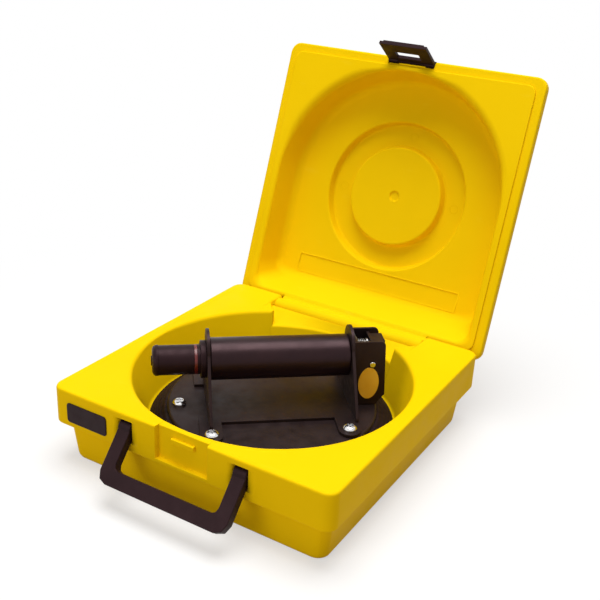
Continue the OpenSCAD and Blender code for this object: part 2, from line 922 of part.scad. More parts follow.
// Handle frame: web, four ears and two uprights
module frame_outline() {
    translate([left_out, -web_half])
        square([right_out - left_out, 2 * web_half]);
    arm_start = web_half - ear_r;
    for (x = [-1, 1], y = [0, 1])
        mirror([0, y])
            translate([x * ear, 0]) {
                translate([-ear_r, arm_start])
                    square([2 * ear_r, ear - arm_start]);
                translate([0, ear])
                    circle(ear_r);
            }
}

module upright_outline() {
    top_y = axis_z + upright_rise - upright_top_r;
    difference() {
        union() {
            polygon([[-foot_half, plate_z + 1], [foot_half, plate_z + 1], [foot_half, plate_z + foot_h],
                     [upright_top_r, top_y], [-upright_top_r, top_y], [-foot_half, plate_z + foot_h]]);
            translate([0, top_y])
                circle(upright_top_r);
        }
        translate([0, axis_z])
            circle(barrel_d / 2 + fit);
    }
}

module handle_frame() {
    color(black)
        at_lifter() {
            difference() {
                translate([0, 0, plate_z])
                    linear_extrude(web_t)
                        frame_outline();
                for (x = [-1, 1], y = [-1, 1])
                    translate([x * ear, y * ear, plate_z - eps])
                        cylinder(d = screw_d + 2 * screw_hole_clear, h = web_t + 2 * eps);
            }
            along_x(left_out, left_in)
                upright_outline();
            along_x(right_in, right_out)
                upright_outline();
        }
}

module grip_sleeve() {
    color(rubber_black)
        at_lifter()
            difference() {
                pump_rod(grip_d, left_in + grip_end_gap, right_in - grip_end_gap);
                pump_rod(barrel_d + 2 * fit, left_in - eps, right_in + eps);
            }
}

module pump_barrel() {
    color(black)
        at_lifter()
            difference() {
                pump_rod(barrel_d, left_out, right_out);
                pump_rod(barrel_id, left_out - eps, right_out + eps);
            }
}

module gland_collar() {
    color(black)
        at_lifter()
            difference() {
                pump_rod(gland_d, left_out - gland_t, left_out);
                pump_rod(plunger_d + 2 * fit, left_out - gland_t - eps, left_out + eps);
            }
}

// Plunger group: tube, end knob, indicator ring, piston and its seal
module plunger() {
    color(black)
        at_lifter()
            difference() {
                pump_rod(plunger_d, plunger_start, plunger_end);
                pump_rod(plunger_id, plunger_start - eps, plunger_end + eps);
                difference() {
                    pump_rod(plunger_d + 2, ring_s, ring_s + ring_w);
                    pump_rod(plunger_d - 2 * ring_depth, ring_s - eps, ring_s + ring_w + eps);
                }
            }
}

module plunger_knob() {
    r = knob_d / 2;
    boss_r = 5;
    color(black)
        at_lifter() {
            translate([knob_tip, 0, axis_z])
                rotate([0, 90, 0])
                    rotate_extrude()
                        polygon([[0, -1], [boss_r, -1], [boss_r, 0], [r - 4, 0], [r - 1.4, 1.2], [r, 3.6],
                                 [r, knob_l], [0, knob_l]]);
            pump_rod(plunger_id - 2 * fit, plunger_start - 0.5, plunger_start + spigot_l);
        }
}

module indicator_ring() {
    color(red)
        at_lifter()
            difference() {
                pump_rod(plunger_d - 2 * fit, ring_s + fit, ring_s + ring_w - fit);
                pump_rod(plunger_d - 2 * ring_depth + 2 * fit, ring_s - eps, ring_s + ring_w + eps);
            }
}

module piston() {
    groove_s = plunger_end + (piston_l - seal_w) / 2;
    color(steel)
        at_lifter()
            difference() {
                union() {
                    pump_rod(barrel_id - 4 * fit, plunger_end, plunger_end + piston_l);
                    pump_rod(plunger_id - 2 * fit, plunger_end - spigot_l, plunger_end + 0.5);
                }
                difference() {
                    pump_rod(barrel_id + 2, groove_s, groove_s + seal_w);
                    pump_rod(barrel_id - 2 * seal_depth, groove_s - eps, groove_s + seal_w + eps);
                }
            }
}

module piston_seal() {
    groove_s = plunger_end + (piston_l - seal_w) / 2;
    color(rubber_black)
        at_lifter()
            difference() {
                pump_rod(barrel_id - 2 * fit, groove_s + fit, groove_s + seal_w - fit);
                pump_rod(barrel_id - 2 * seal_depth + 2 * fit, groove_s - eps, groove_s + seal_w + eps);
            }
}

module plunger_spring() {
    start = plunger_end + piston_l + spring_seat_gap;
    mean_d = barrel_id - 7;
    color(steel)
        at_lifter()
            translate([start, 0, axis_z])
                helix(mean_d, spring_wire, plug_start - spring_seat_gap - start, spring_turns);
}

// Valve end: block, check valve, pipe, guard, lever and stem
module valve_block() {
    half_t = guard_gap / 2;
    port_d = 4;
    color(steel)
        at_lifter()
            difference() {
                union() {
                    pump_rod(barrel_id - 2 * fit, plug_start, right_out);
                    pump_rod(neck_d - 2 * fit, right_out - 0.5, web_end + 0.5);
                    block([web_end, -half_t, axis_z - block_half_h],
                          [block_end, half_t, stem_z - head_d / 2 - 1.5]);
                    block([web_end, -half_t, axis_z], [seat_s, half_t, stem_z + head_d / 2]);
                }
                rod_x(stem_d + 2 * fit, web_end - eps, seat_s + eps, 0, stem_z);
                translate([pipe_s, 0, axis_z - block_half_h - eps])
                    cylinder(d = pipe_d + 2 * fit, h = block_half_h - 3);
                translate([pipe_s, 0, axis_z - block_half_h])
                    cylinder(d = port_d, h = block_half_h);
                pump_rod(port_d, plug_start - eps, pipe_s);
            }
}

module check_valve() {
    color(rubber_black)
        at_lifter()
            pump_rod(check_d, plug_start - check_t, plug_start);
}

module vacuum_pipe() {
    bore = pipe_d - 3;
    low = pad_top_z - 4;
    high = axis_z - 4.2;
    color(steel)
        at_lifter()
            translate([pipe_s, 0, low])
                difference() {
                    cylinder(d = pipe_d, h = high - low);
                    translate([0, 0, -eps])
                        cylinder(d = bore, h = high - low + 2 * eps);
                }
}

module cheek_outline() {
    low = plate_z;
    high = axis_z + guard_rise;
    round_r = 5;
    flare = 3;
    foot_cut = 6;
    far = right_out + guard_l;
    polygon([[right_out, low], [far - foot_cut, low], [far + flare, low + 2 * foot_cut], [far, high - round_r],
             [far - round_r, high], [right_out, high]]);
    translate([far - round_r, high - round_r])
        circle(round_r);
}

module valve_guard() {
    half = guard_gap / 2;
    color(black)
        at_lifter()
            difference() {
                union() {
                    along_y(half, half + guard_t)
                        cheek_outline();
                    along_y(-half - guard_t, -half)
                        cheek_outline();
                    block([right_out, -half - 1, plate_z], [web_end, half + 1, axis_z + guard_rise]);
                }
                pump_rod(neck_d, right_out - eps, web_end + eps);
                rod_x(stem_d + 1, right_out - eps, web_end + eps, 0, stem_z);
                translate([lever_mid, half + guard_t + eps, lever_pin_z])
                    rotate([90, 0, 0])
                        cylinder(d = lever_pin_d + 2 * fit, h = guard_gap + 2 * guard_t + 2 * eps);
            }
}

module release_lever() {
    color(black)
        at_lifter()
            difference() {
                union() {
                    block([lever_s, -lever_half, lever_pin_z], [lever_s + lever_t, lever_half, lever_top_z]);
                    block([lever_s + 1, -lever_tab_half, lever_top_z - lever_t],
                          [lever_s + lever_t + lever_tab_l, lever_tab_half, lever_top_z]);
                    translate([lever_mid, lever_half, lever_pin_z])
                        rotate([90, 0, 0])
                            cylinder(r = lever_boss_r, h = 2 * lever_half);
                }
                translate([lever_mid, lever_half + eps, lever_pin_z])
                    rotate([90, 0, 0])
                        cylinder(d = lever_pin_d + 2 * fit, h = 2 * lever_half + 2 * eps);
            }
}

module lever_pin() {
    half = guard_gap / 2 + guard_t;
    color(chrome)
        at_lifter()
            translate([lever_mid, 0, lever_pin_z])
                rotate([90, 0, 0]) {
                    cylinder(d = lever_pin_d, h = 2 * half + 1, center = true);
                    for (side = [0, 1])
                        mirror([0, 0, side])
                            translate([0, 0, half])
                                cylinder(d = pin_head_d, h = pin_head_t);
                }
}

module valve_stem() {
    nose_d = 4;
    color(chrome)
        at_lifter() {
            rod_x(stem_d, stem_start, head_s + 0.5, 0, stem_z);
            rod_x(head_d, head_s, head_s + head_t, 0, stem_z);
            rod_x(nose_d, head_s + head_t - 0.5, nose_s, 0, stem_z);
        }
}

module valve_spring() {
    color(steel)
        at_lifter()
            translate([seat_s + spring_seat_gap, 0, stem_z])
                helix(valve_mean_d, valve_wire, valve_spring_l, valve_turns);
}

module guard_decal() {
    count = 36;
    face = -guard_gap / 2 - guard_t;
    color(decal_orange)
        at_lifter()
            translate([decal_s, 0, decal_z])
                along_y(face - decal_t, face)
                    polygon([for (i = [0:count - 1])
                        [decal_w / 2 * cos(360 * i / count), decal_h / 2 * sin(360 * i / count)]]);
}

base_tray();
base_tub();
lid_shell();
lid_panel();
hinge_pin();
latch();
latch_pin();
carry_handle();
handle_pins();
label_plate();
suction_pad();
cup_plate();
plate_screws();
handle_frame();
grip_sleeve();
pump_barrel();
gland_collar();
plunger();
plunger_knob();
indicator_ring();
piston();
piston_seal();
plunger_spring();
valve_block();
check_valve();
vacuum_pipe();
valve_guard();
release_lever();
lever_pin();
valve_stem();
valve_spring();
guard_decal();
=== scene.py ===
# %% [markdown]
# # A hand vacuum cup in its yellow carrying case
# The real object is a moulded case, stood open, with a black pump-action suction lifter lying askew in its
# round pocket. This lesson dresses its exact construction model: the big yellow mouldings are built again as
# soft-edged meshes, and the small hard parts keep their exact solids and get rounded edges and real finishes.
# We begin by loading the construction model, because every piece below is placed in its frame.

# %% Load the construction model
import json
import math

import bmesh
import bpy
import numpy as np
from mathutils import Matrix, Vector


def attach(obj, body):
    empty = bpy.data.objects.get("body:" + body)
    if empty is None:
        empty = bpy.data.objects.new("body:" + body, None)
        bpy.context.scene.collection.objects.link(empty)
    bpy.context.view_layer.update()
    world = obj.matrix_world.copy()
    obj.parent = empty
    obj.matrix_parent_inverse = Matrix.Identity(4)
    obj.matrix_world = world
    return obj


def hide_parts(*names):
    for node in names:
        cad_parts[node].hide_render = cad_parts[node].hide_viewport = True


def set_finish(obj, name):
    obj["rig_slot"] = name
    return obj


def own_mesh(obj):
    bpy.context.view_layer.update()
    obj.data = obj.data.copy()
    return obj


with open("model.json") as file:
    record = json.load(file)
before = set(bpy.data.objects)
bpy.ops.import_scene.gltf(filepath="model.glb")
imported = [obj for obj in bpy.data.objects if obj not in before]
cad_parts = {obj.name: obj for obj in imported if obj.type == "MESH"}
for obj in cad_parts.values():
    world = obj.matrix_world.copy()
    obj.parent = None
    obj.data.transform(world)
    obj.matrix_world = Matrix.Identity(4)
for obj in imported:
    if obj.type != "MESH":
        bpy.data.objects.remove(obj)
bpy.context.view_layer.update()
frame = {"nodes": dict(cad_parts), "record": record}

# %% [markdown]
# ## The camera
# The picture was taken from the front right, above the deck, with the camera tipped by three degrees. A camera
# can be aimed with a tracking constraint, but that always keeps it level, so its three axes are written out
# here as the columns of its matrix: right, up and back.

# %% Place the camera
CASE_WIDTH = 0.316
DECK_HEIGHT = 0.083
camera_right = Vector((0.85255, 0.52051, 0.04728))
camera_up = Vector((-0.25022, 0.32704, 0.91128))
camera_back = Vector((0.45888, -0.78875, 0.40905))
camera_place = Vector((1.40918, -2.29690, 1.45234)) * CASE_WIDTH + Vector((0, 0, DECK_HEIGHT))

camera_data = bpy.data.cameras.new("camera")
camera_data.sensor_width = 36
camera_data.lens = 56.37
camera = bpy.data.objects.new("camera", camera_data)
bpy.context.scene.collection.objects.link(camera)
turn = Matrix((camera_right, camera_up, camera_back)).transposed()
camera.matrix_world = Matrix.Translation(camera_place) @ turn.to_4x4()
bpy.context.scene.camera = camera
print("camera at", tuple(round(v, 3) for v in camera_place))

# %% [markdown]
# ## Lofting soft mouldings
# A blow-moulded case has no sharp edges: every wall runs into the next through a round. Such a form can be
# cut with booleans and bevelled, but the bevels break where cuts meet. Here it is lofted instead. A moulding
# is a list of rings with the same number of points, from its middle to its rim and back along its other
# side. `soften` rounds the form at each ring, and `loft` joins ring to ring with quads.

# %% Helpers that loft rings into a closed skin
MM = 0.001


def soften(rings, radii, steps=5):
    """Put a round of the given radius, in millimetres, at each inner ring."""
    out = [rings[0]]
    for before, here, after, radius in zip(rings, rings[1:], rings[2:], radii):
        if radius is None:
            out.append(here)
            continue
        to_before, to_after = before - here, after - here
        reach_before = np.linalg.norm(to_before, axis=1, keepdims=True) + 1e-9
        reach_after = np.linalg.norm(to_after, axis=1, keepdims=True) + 1e-9
        wanted = np.broadcast_to(np.asarray(radius, float).reshape(-1, 1), reach_before.shape)
        size = np.minimum(wanted, 0.46 * np.minimum(reach_before, reach_after))
        start = here + to_before / reach_before * size
        end = here + to_after / reach_after * size
        for t in np.linspace(0, 1, steps):
            out.append((1 - t) ** 2 * start + 2 * t * (1 - t) * here + t * t * end)
    return out + [rings[-1]]


def loft(rings):
    """Join the rings with quads, and close the first and the last one with a fan."""
    count = len(rings[0])
    points = np.concatenate(rings + [rings[0].mean(axis=0)[None], rings[-1].mean(axis=0)[None]])
    first_middle, last_middle = len(points) - 2, len(points) - 1
    last = (len(rings) - 1) * count
    faces = []
    for j in range(count):
        i = (j + 1) % count
        faces += [(k * count + j, k * count + i, (k + 1) * count + i, (k + 1) * count + j)
                  for k in range(len(rings) - 1)]
        faces += [(first_middle, i, j), (last_middle, last + j, last + i)]
    return points, faces


def closed_tube(rings):
    """Rings joined round into a tube whose last ring meets its first."""
    count = len(rings[0])
    faces = [(k * count + j, k * count + (j + 1) % count, (k + 1) % len(rings) * count + (j + 1) % count,
              (k + 1) % len(rings) * count + j) for k in range(len(rings)) for j in range(count)]
    return np.concatenate(rings), faces


def join_shells(*shells):
    """Several point and face lists as one."""
    points, faces = [], []
    for shell_points, shell_faces in shells:
        shift = sum(len(p) for p in points)
        points.append(np.asarray(shell_points, float))
        faces += [tuple(v + shift for v in face) for face in shell_faces]
    return np.concatenate(points), faces


def make_piece(name, shell, body, slot, *nodes):
    """A mesh object from a shell in millimetres, which stands for the CAD nodes named."""
    points, faces = shell
    mesh = bpy.data.meshes.new(name)
    mesh.from_pydata([tuple(p) for p in points * MM], [], faces)
    work = bmesh.new()
    work.from_mesh(mesh)
    bmesh.ops.remove_doubles(work, verts=work.verts, dist=1e-7)
    bmesh.ops.recalc_face_normals(work, faces=work.faces)
    work.to_mesh(mesh)
    work.free()
    mesh.shade_smooth()
    piece = bpy.data.objects.new(name, mesh)
    bpy.context.scene.collection.objects.link(piece)
    piece.modifiers.new("even shading", "WEIGHTED_NORMAL").keep_sharp = True
    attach(piece, body)
    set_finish(piece, slot)
    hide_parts(*nodes)
    print(name, "has", len(mesh.vertices), "points and", len(mesh.polygons), "faces")
    return piece


# %% [markdown]
# ## Outlines
# The rings of the case follow three outlines: a rounded rectangle, a circle, and the arch of the lid, which
# is a half circle with straight sides. Each is written as a signed distance, negative inside. `trace` walks
# out from the pocket's middle along a fan of directions until it meets the outline, so that rings of
# different outlines always match point for point.

# %% Outlines as signed distances
POCKET = np.array([0.0, -6.5])


def rounded_rectangle(half_x, low_y, high_y, corner):
    middle = np.array([0, (low_y + high_y) / 2])
    half = np.array([half_x, (high_y - low_y) / 2])

    def distance(p):
        q = np.abs(p - middle) - (half - corner)
        outside = np.hypot(np.maximum(q[:, 0], 0), np.maximum(q[:, 1], 0))
        return outside + np.minimum(q.max(axis=1), 0) - corner
    return distance


def arch(radius, end_y, corner):
    def distance(p):
        away = p - POCKET
        q = np.stack([np.abs(away[:, 0]) - radius + corner, p[:, 1] - end_y + corner], axis=1)
        outside = np.hypot(np.maximum(q[:, 0], 0), np.maximum(q[:, 1], 0))
        straight = outside + np.minimum(q.max(axis=1), 0) - corner
        return np.where(away[:, 1] < 0, np.hypot(away[:, 0], away[:, 1]) - radius, straight)
    return distance


def trace(distance, angles, z):
    aim = np.stack([np.cos(angles), np.sin(angles)], axis=1)
    near, far = np.zeros(len(angles)), np.full(len(angles), 400.0)
    for _ in range(44):
        middle = (near + far) / 2
        inside = distance(POCKET + aim * middle[:, None]) < 0
        near, far = np.where(inside, middle, near), np.where(inside, far, middle)
    return np.column_stack([POCKET + aim * near[:, None], np.broadcast_to(z, len(angles))])


def circle(radius, angles, z):
    flat = POCKET + np.stack([np.cos(angles), np.sin(angles)], axis=1) * np.reshape(radius, (-1, 1))
    return np.column_stack([flat, np.broadcast_to(z, len(angles))])


def fan(corners):
    """Directions every three degrees, and closer together near each corner."""
    even = np.radians(np.arange(0, 360, 3.0))
    close = [math.atan2(y - POCKET[1], x) + np.radians(np.arange(-6, 6.1, 0.75)) for x, y in corners]
    return np.unique(np.round(np.concatenate([even] + close) % (2 * math.pi), 4))


print("outlines ready")

# %% [markdown]
# ## The base tray
# The tray is one moulding: the flat deck, the round pocket that the cup lies in, the band round the outside,
# the notch behind the pocket for the hinge, two recesses for the carry handle and a bay for the latch. One
# loft can hold all of it if its columns are set close together where a feature starts and ends. Each column
# then says by its place, or by a weight, how far it takes part in the notch, the bay and the recesses.

# %% Columns of the tray
HALF_W, HALF_D, CORNER = 158.0, 160.0, 12.0
DECK, BAND, FLOOR, SILL = 83.0, 44.0, 27.0, 63.0
FLOOR_R, MOUTH_R = 129.0, 143.0
WALL, NOTCH_HALF = 3.0, 95.0
BAY_SIDE, BAY_FADE = [28.6, 29, 29.4, 29.8], [1, 0.97, 0.03, 0]
RECESS_SIDES = [56.4, 57, 73, 73.6]

front_half = [0, 10, 20, 26, *BAY_SIDE, 34, 42, 50, *RECESS_SIDES[:2], 60, 65, 70, *RECESS_SIDES[2:],
              80, 90, 102, 116, 130, 140]
rear_half = [0, 15, 30, 45, 58, 68, 74, 77, 78.2, 78.55, 78.71, 78.8, 79, 79.4, 79.84, 80.5, 82, 84, 86.5, 89,
             91.5, 93.5, 94.6, 95, 95.3, 96, 97.5, 100, 108, 122, 134, 142]


def both_ways(half):
    return sorted({-x for x in half} | set(half))


def corner_arc(x, y, start):
    turns = np.radians(start + np.linspace(0, 90, 9))
    return [(x + CORNER * math.cos(a), y + CORNER * math.sin(a)) for a in turns]


inner_x, inner_y = HALF_W - CORNER, HALF_D - CORNER
side_y = list(np.arange(-140, 141, 14.0))
front = [(x, -HALF_D) for x in both_ways(front_half)]
rear = [(x, HALF_D) for x in reversed(both_ways(rear_half))]
outer = np.array(front + corner_arc(inner_x, -inner_y, -90) + [(HALF_W, y) for y in side_y]
                 + corner_arc(inner_x, inner_y, 0) + rear + corner_arc(-inner_x, inner_y, 90)
                 + [(-HALF_W, y) for y in reversed(side_y)] + corner_arc(-inner_x, -inner_y, 180), float)
is_front = np.isclose(outer[:, 1], -HALF_D)
is_rear = np.isclose(outer[:, 1], HALF_D)
aside = np.abs(outer[:, 0])
bay = np.where(is_front, np.interp(aside, BAY_SIDE, BAY_FADE), 0)
recess = np.where(is_front, np.interp(aside, RECESS_SIDES, [0, 1, 1, 0]), 0)
in_notch = is_rear & (aside < NOTCH_HALF - 0.1)
shoulder = np.where(is_rear, np.interp(aside, [95, 95.3, 96, 97.5, 100], [3.4, 2, 1, 0.3, 0]), 0)
print("tray columns:", len(outer), "of which in the notch:", int(in_notch.sum()))

# %% [markdown]
# The floor of the notch is nearly level at the pocket and rises to a ridge in front of the hinge. Over most of
# its width it starts at the pocket's own wall. Near its ends a nose of deck reaches in between the pocket and
# the notch, so there the notch starts at its own slanting wall. The tip of the nose is part of a small circle.

# %% Where the notch meets the pocket
RAMP_Y, LEVEL, RAMP_TOP = 139.4, 66.0, 77.0
TIP_X, TIP_R, SLANT = 82.7, 4.0, 1.02


def pocket_radius(z):
    return FLOOR_R + (MOUTH_R - FLOOR_R) * (z - FLOOR) / (DECK - FLOOR)


def back_of(radius):
    return np.sqrt(np.maximum(radius ** 2 - aside ** 2, 1)) + POCKET[1]


ramp_start = back_of(pocket_radius(LEVEL))


def ramp(y):
    share = np.clip((y - ramp_start) / (RAMP_Y - ramp_start), 0, 1)
    return LEVEL + (RAMP_TOP - LEVEL) * share ** 1.3


# The tip's circle touches the mouth of the pocket on one side and the slanting wall on the other.
tip_y = POCKET[1] + math.sqrt((MOUTH_R + TIP_R) ** 2 - TIP_X ** 2)
mouth_touch = TIP_X * MOUTH_R / (MOUTH_R + TIP_R)
wall_touch = TIP_X - TIP_R * math.sin(math.atan(SLANT))
wall_y = tip_y + TIP_R * math.cos(math.atan(SLANT)) + SLANT * (aside - wall_touch)
tip_half = np.sqrt(np.maximum(TIP_R ** 2 - (TIP_X - aside) ** 2, 0))
notch_front = np.where(aside < wall_touch, tip_y + tip_half, wall_y)
mouth_back = np.where(aside < mouth_touch, tip_y - tip_half, back_of(MOUTH_R))
opens_to_pocket = in_notch & (aside < TIP_X - TIP_R)
in_nose = in_notch & ~opens_to_pocket
mouth_r = np.where(opens_to_pocket, pocket_radius(LEVEL),
                   np.where(in_nose, np.hypot(aside, mouth_back - POCKET[1]), MOUTH_R))
mouth_z = np.where(opens_to_pocket, LEVEL, DECK)

# Round the pocket, the columns of the notch stay straight behind it. The others share the rest of the turn.
outer_angle = np.arctan2(outer[:, 1] - POCKET[1], outer[:, 0])
outer_lean = np.abs(np.arctan2(outer[:, 0], outer[:, 1] - POCKET[1]))
notch_end, side_lean = math.atan2(NOTCH_HALF, HALF_D - POCKET[1]), math.radians(105)
shared_lean = np.interp(outer_lean, [notch_end, side_lean, math.pi],
                        [math.asin(NOTCH_HALF / MOUTH_R), side_lean, math.pi])
hand = np.where(outer[:, 0] < 0, -1, 1)


def angle_at(radius):
    straight = np.arcsin(np.minimum(aside / radius, 0.99))
    return math.pi / 2 - hand * np.where(is_rear & (aside <= NOTCH_HALF), straight, shared_lean)


inner_angle, floor_angle = angle_at(mouth_r), angle_at(MOUTH_R)
print("columns where the ramp meets the pocket:", int(opens_to_pocket.sum()))

# %% [markdown]
# With the columns set, the rings follow the moulding from the middle of the pocket floor, up the wall, over
# the deck, down the band and back along the inside. The deck's edge is rounded by about five millimetres, and
# the rails at the hinge by nearly ten, so the rounds differ from column to column.

# %% Rings of the tray
BAY, BAY_FOOT = 4.8, 48.5
RECESS, RECESS_TOP, RECESS_FOOT = 13.0, 76.0, 53.0
NOTCH_EDGE, HINGE_RAIL, REAR_CORNER, DECK_EDGE = 1.5, 9.6, 7.0, 5.0
edge_z = np.where(in_notch, SILL, DECK - shoulder)


def tray_level(z):
    """A height on the band, squeezed where the notch lowers the edge."""
    return BAND + (z - BAND) * (edge_z - BAND) / (DECK - BAND)


def tray_wall(inset, z, inward=0.0):
    ring = trace(rounded_rectangle(HALF_W - inset, -HALF_D + inset, HALF_D - inset, max(CORNER - inset, 4)),
                 outer_angle, z)
    ring[:, 1] += inward
    return ring


mouth = circle(mouth_r, inner_angle, mouth_z)
deck_edge = tray_wall(0, edge_z, BAY * bay)


def deck_ring(share, notch_y, notch_z):
    """A ring on the deck between mouth and edge, and at the given place in the notch."""
    ring = mouth + share * (deck_edge - mouth)
    ring[:, 2] = DECK - np.where(ring[:, 1] > notch_front, shoulder, 0)
    in_place = np.column_stack([outer[:, 0], np.broadcast_to(notch_y, aside.shape),
                                np.broadcast_to(notch_z, aside.shape)])
    return np.where(in_notch[:, None], in_place, ring)


on_ramp = [ramp_start + share * (RAMP_Y - ramp_start) for share in (0.22, 0.25, 0.65)]
lip_y = np.where(opens_to_pocket, on_ramp[0], notch_front)
lip_z = np.where(opens_to_pocket, ramp(on_ramp[0]), DECK)
foot_y = np.where(opens_to_pocket, on_ramp[1], notch_front + 0.2)
slope_y = np.maximum(on_ramp[2], foot_y + 1)
plain_edge = np.where(outer[:, 1] > inner_y, REAR_CORNER, DECK_EDGE)
edge_round = np.where(in_notch, NOTCH_EDGE, np.where(is_rear, HINGE_RAIL, plain_edge)) - 3.0 * bay
dip = RECESS * recess + BAY * bay
tray_rings = [
    circle(20, floor_angle, FLOOR),
    circle(FLOOR_R, floor_angle, FLOOR),
    mouth,
    deck_ring(0.3, lip_y, lip_z),
    deck_ring(0.45, foot_y, ramp(foot_y)),
    deck_ring(0.52, slope_y, ramp(slope_y)),
    deck_ring(0.6, RAMP_Y, RAMP_TOP),
    deck_ring(0.7, RAMP_Y + 0.1, SILL + 0.2),
    deck_edge,
    tray_wall(0, tray_level(RECESS_TOP + 0.2), BAY * bay),
    tray_wall(0, tray_level(RECESS_TOP), dip),
    tray_wall(0, tray_level(RECESS_FOOT), dip),
    tray_wall(0, tray_level(RECESS_FOOT - 0.2), BAY * bay),
    tray_wall(0, tray_level(BAY_FOOT + 0.1), BAY * bay),
    tray_wall(0, tray_level(BAY_FOOT)),
    tray_wall(0, BAND),
    tray_wall(12, BAND),
    tray_wall(12, BAND + WALL),
    tray_wall(WALL, BAND + WALL, RECESS * recess + (BAY - 0.6) * bay),
    tray_wall(WALL, edge_z - WALL, RECESS * recess + (BAY - 0.6) * bay),
    circle(mouth_r + WALL, inner_angle, np.where(in_notch, SILL, DECK) - WALL),
    circle(FLOOR_R + WALL, floor_angle, FLOOR - WALL),
    circle(20, floor_angle, FLOOR - WALL),
]
mouth_round = np.where(opens_to_pocket, 2.0, 4.0)
lip_round = np.where(in_nose, np.interp(aside, [TIP_X, NOTCH_HALF], [5.0, 1.0]), 3.0)
tray_rounds = [5, mouth_round, lip_round, 1.5, 3, 1.6, 0.6, edge_round, 0.6, 0.8, 0.8, 0.6, 0.8, 0.8, 1.4]
tray_rounds += [None] * 6


def rounded_block(low, high, radius, segments=3):
    """A box with all its edges rounded."""
    work = bmesh.new()
    bmesh.ops.create_cube(work, size=1)
    low, high = np.array(low, float), np.array(high, float)
    for v in work.verts:
        v.co = Vector((low + high) / 2 + np.array(v.co) * (high - low))
    bmesh.ops.bevel(work, geom=work.edges[:], offset=radius, segments=segments, affect="EDGES", profile=0.5)
    work.verts.index_update()
    shell = np.array([v.co for v in work.verts]), [tuple(v.index for v in f.verts) for f in work.faces]
    work.free()
    return shell


catch = rounded_block((-13, -158.3, 69.75), (13, -154.4, 74.75), 0.8)
tray = make_piece("base_tray_moulding", join_shells(loft(soften(tray_rings, tray_rounds)), catch),
                  "case", "case_yellow", "base_tray")

# %% [markdown]
# ## The tub
# Below the step line the case goes on as a plain tub, a little narrower than the band and drawn in towards
# its foot. Its rings are all rounded rectangles. A ring of rib under the pocket floor carries the load.

# %% Loft the tub
RIB_IN, RIB_OUT, RIB_FOOT, RIB_TOP = 61.5, 64.5, 2.5, 24.0
TUB_TOP = BAND - 0.05
case_fan = fan([(HALF_W, HALF_D), (-HALF_W, HALF_D), (HALF_W, -HALF_D), (-HALF_W, -HALF_D)])


def case_ring(inset, z, corner):
    return trace(rounded_rectangle(HALF_W - inset, -HALF_D + inset, HALF_D - inset, corner), case_fan, z)


tub_rings = [case_ring(70, 0, 12), case_ring(13, 0, 12), case_ring(9, TUB_TOP, 12),
             case_ring(11.9, TUB_TOP, 9), case_ring(15.9, WALL, 9), case_ring(70, WALL, 9)]
rib_turn = np.radians(np.arange(0, 360, 5.0))
rib = closed_tube([circle(RIB_IN, rib_turn, RIB_FOOT), circle(RIB_OUT, rib_turn, RIB_FOOT),
                   circle(RIB_OUT, rib_turn, RIB_TOP), circle(RIB_IN, rib_turn, RIB_TOP)])
tub = make_piece("base_tub_moulding", join_shells(loft(soften(tub_rings, [6, 0.6, None, 3])), rib),
                 "case", "case_yellow", "base_tub")

# %% [markdown]
# ## The lid
# The lid is two mouldings joined at the rim. The inner panel has the arch that makes room for the lifter, a
# ring groove for the tops of its handle, and a dimple in the middle. It is easiest to draw the lid shut, where
# its faces lie flat over the deck, and then to swing every point open about the hinge line.

# %% Loft the lid's inner panel
HINGE_Y, HINGE_Z, OPEN = 150.0, 73.0, math.radians(-109)
PANEL, STRIP, ARCH_FLOOR, GROOVE = 83.4, 85.4, 122.5, 133.5
PANEL_X, PANEL_FRONT, PANEL_BACK = 148, -151, 140
ARCH_R, ARCH_END, ARCH_FLOOR_R, ARCH_FLOOR_END = 140, 135, 134, 113
DISC_R, GROOVE_IN, GROOVE_OUT, RING_R = 57.5, 59.5, 85, 87
DIMPLE_R, DIMPLE_DEPTH = 6.3, 2.3
FRAME_X, FRAME_LOW, FRAME_HIGH = 106, 85, 109


def swing_open(points):
    y, z = points[:, 1] - HINGE_Y, points[:, 2] - HINGE_Z
    return np.column_stack([points[:, 0], HINGE_Y + y * math.cos(OPEN) - z * math.sin(OPEN),
                            HINGE_Z + y * math.sin(OPEN) + z * math.cos(OPEN)])


def opened(shell):
    return swing_open(np.asarray(shell[0], float)), shell[1]


lid_corners = ((PANEL_X, PANEL_BACK), (PANEL_X, PANEL_FRONT), (ARCH_R, ARCH_END),
               (ARCH_FLOOR_R, ARCH_FLOOR_END))
lid_fan = fan([(side * x, y) for x, y in lid_corners for side in (1, -1)])


def panel_ring(inset, z):
    return trace(rounded_rectangle(PANEL_X - inset, PANEL_FRONT + inset, PANEL_BACK - inset, 9), lid_fan, z)


def arch_ring(radius, end_y, z):
    return trace(arch(radius, end_y, 14), lid_fan, z)


def lid_circle(radius, z):
    return circle(radius, lid_fan, z)


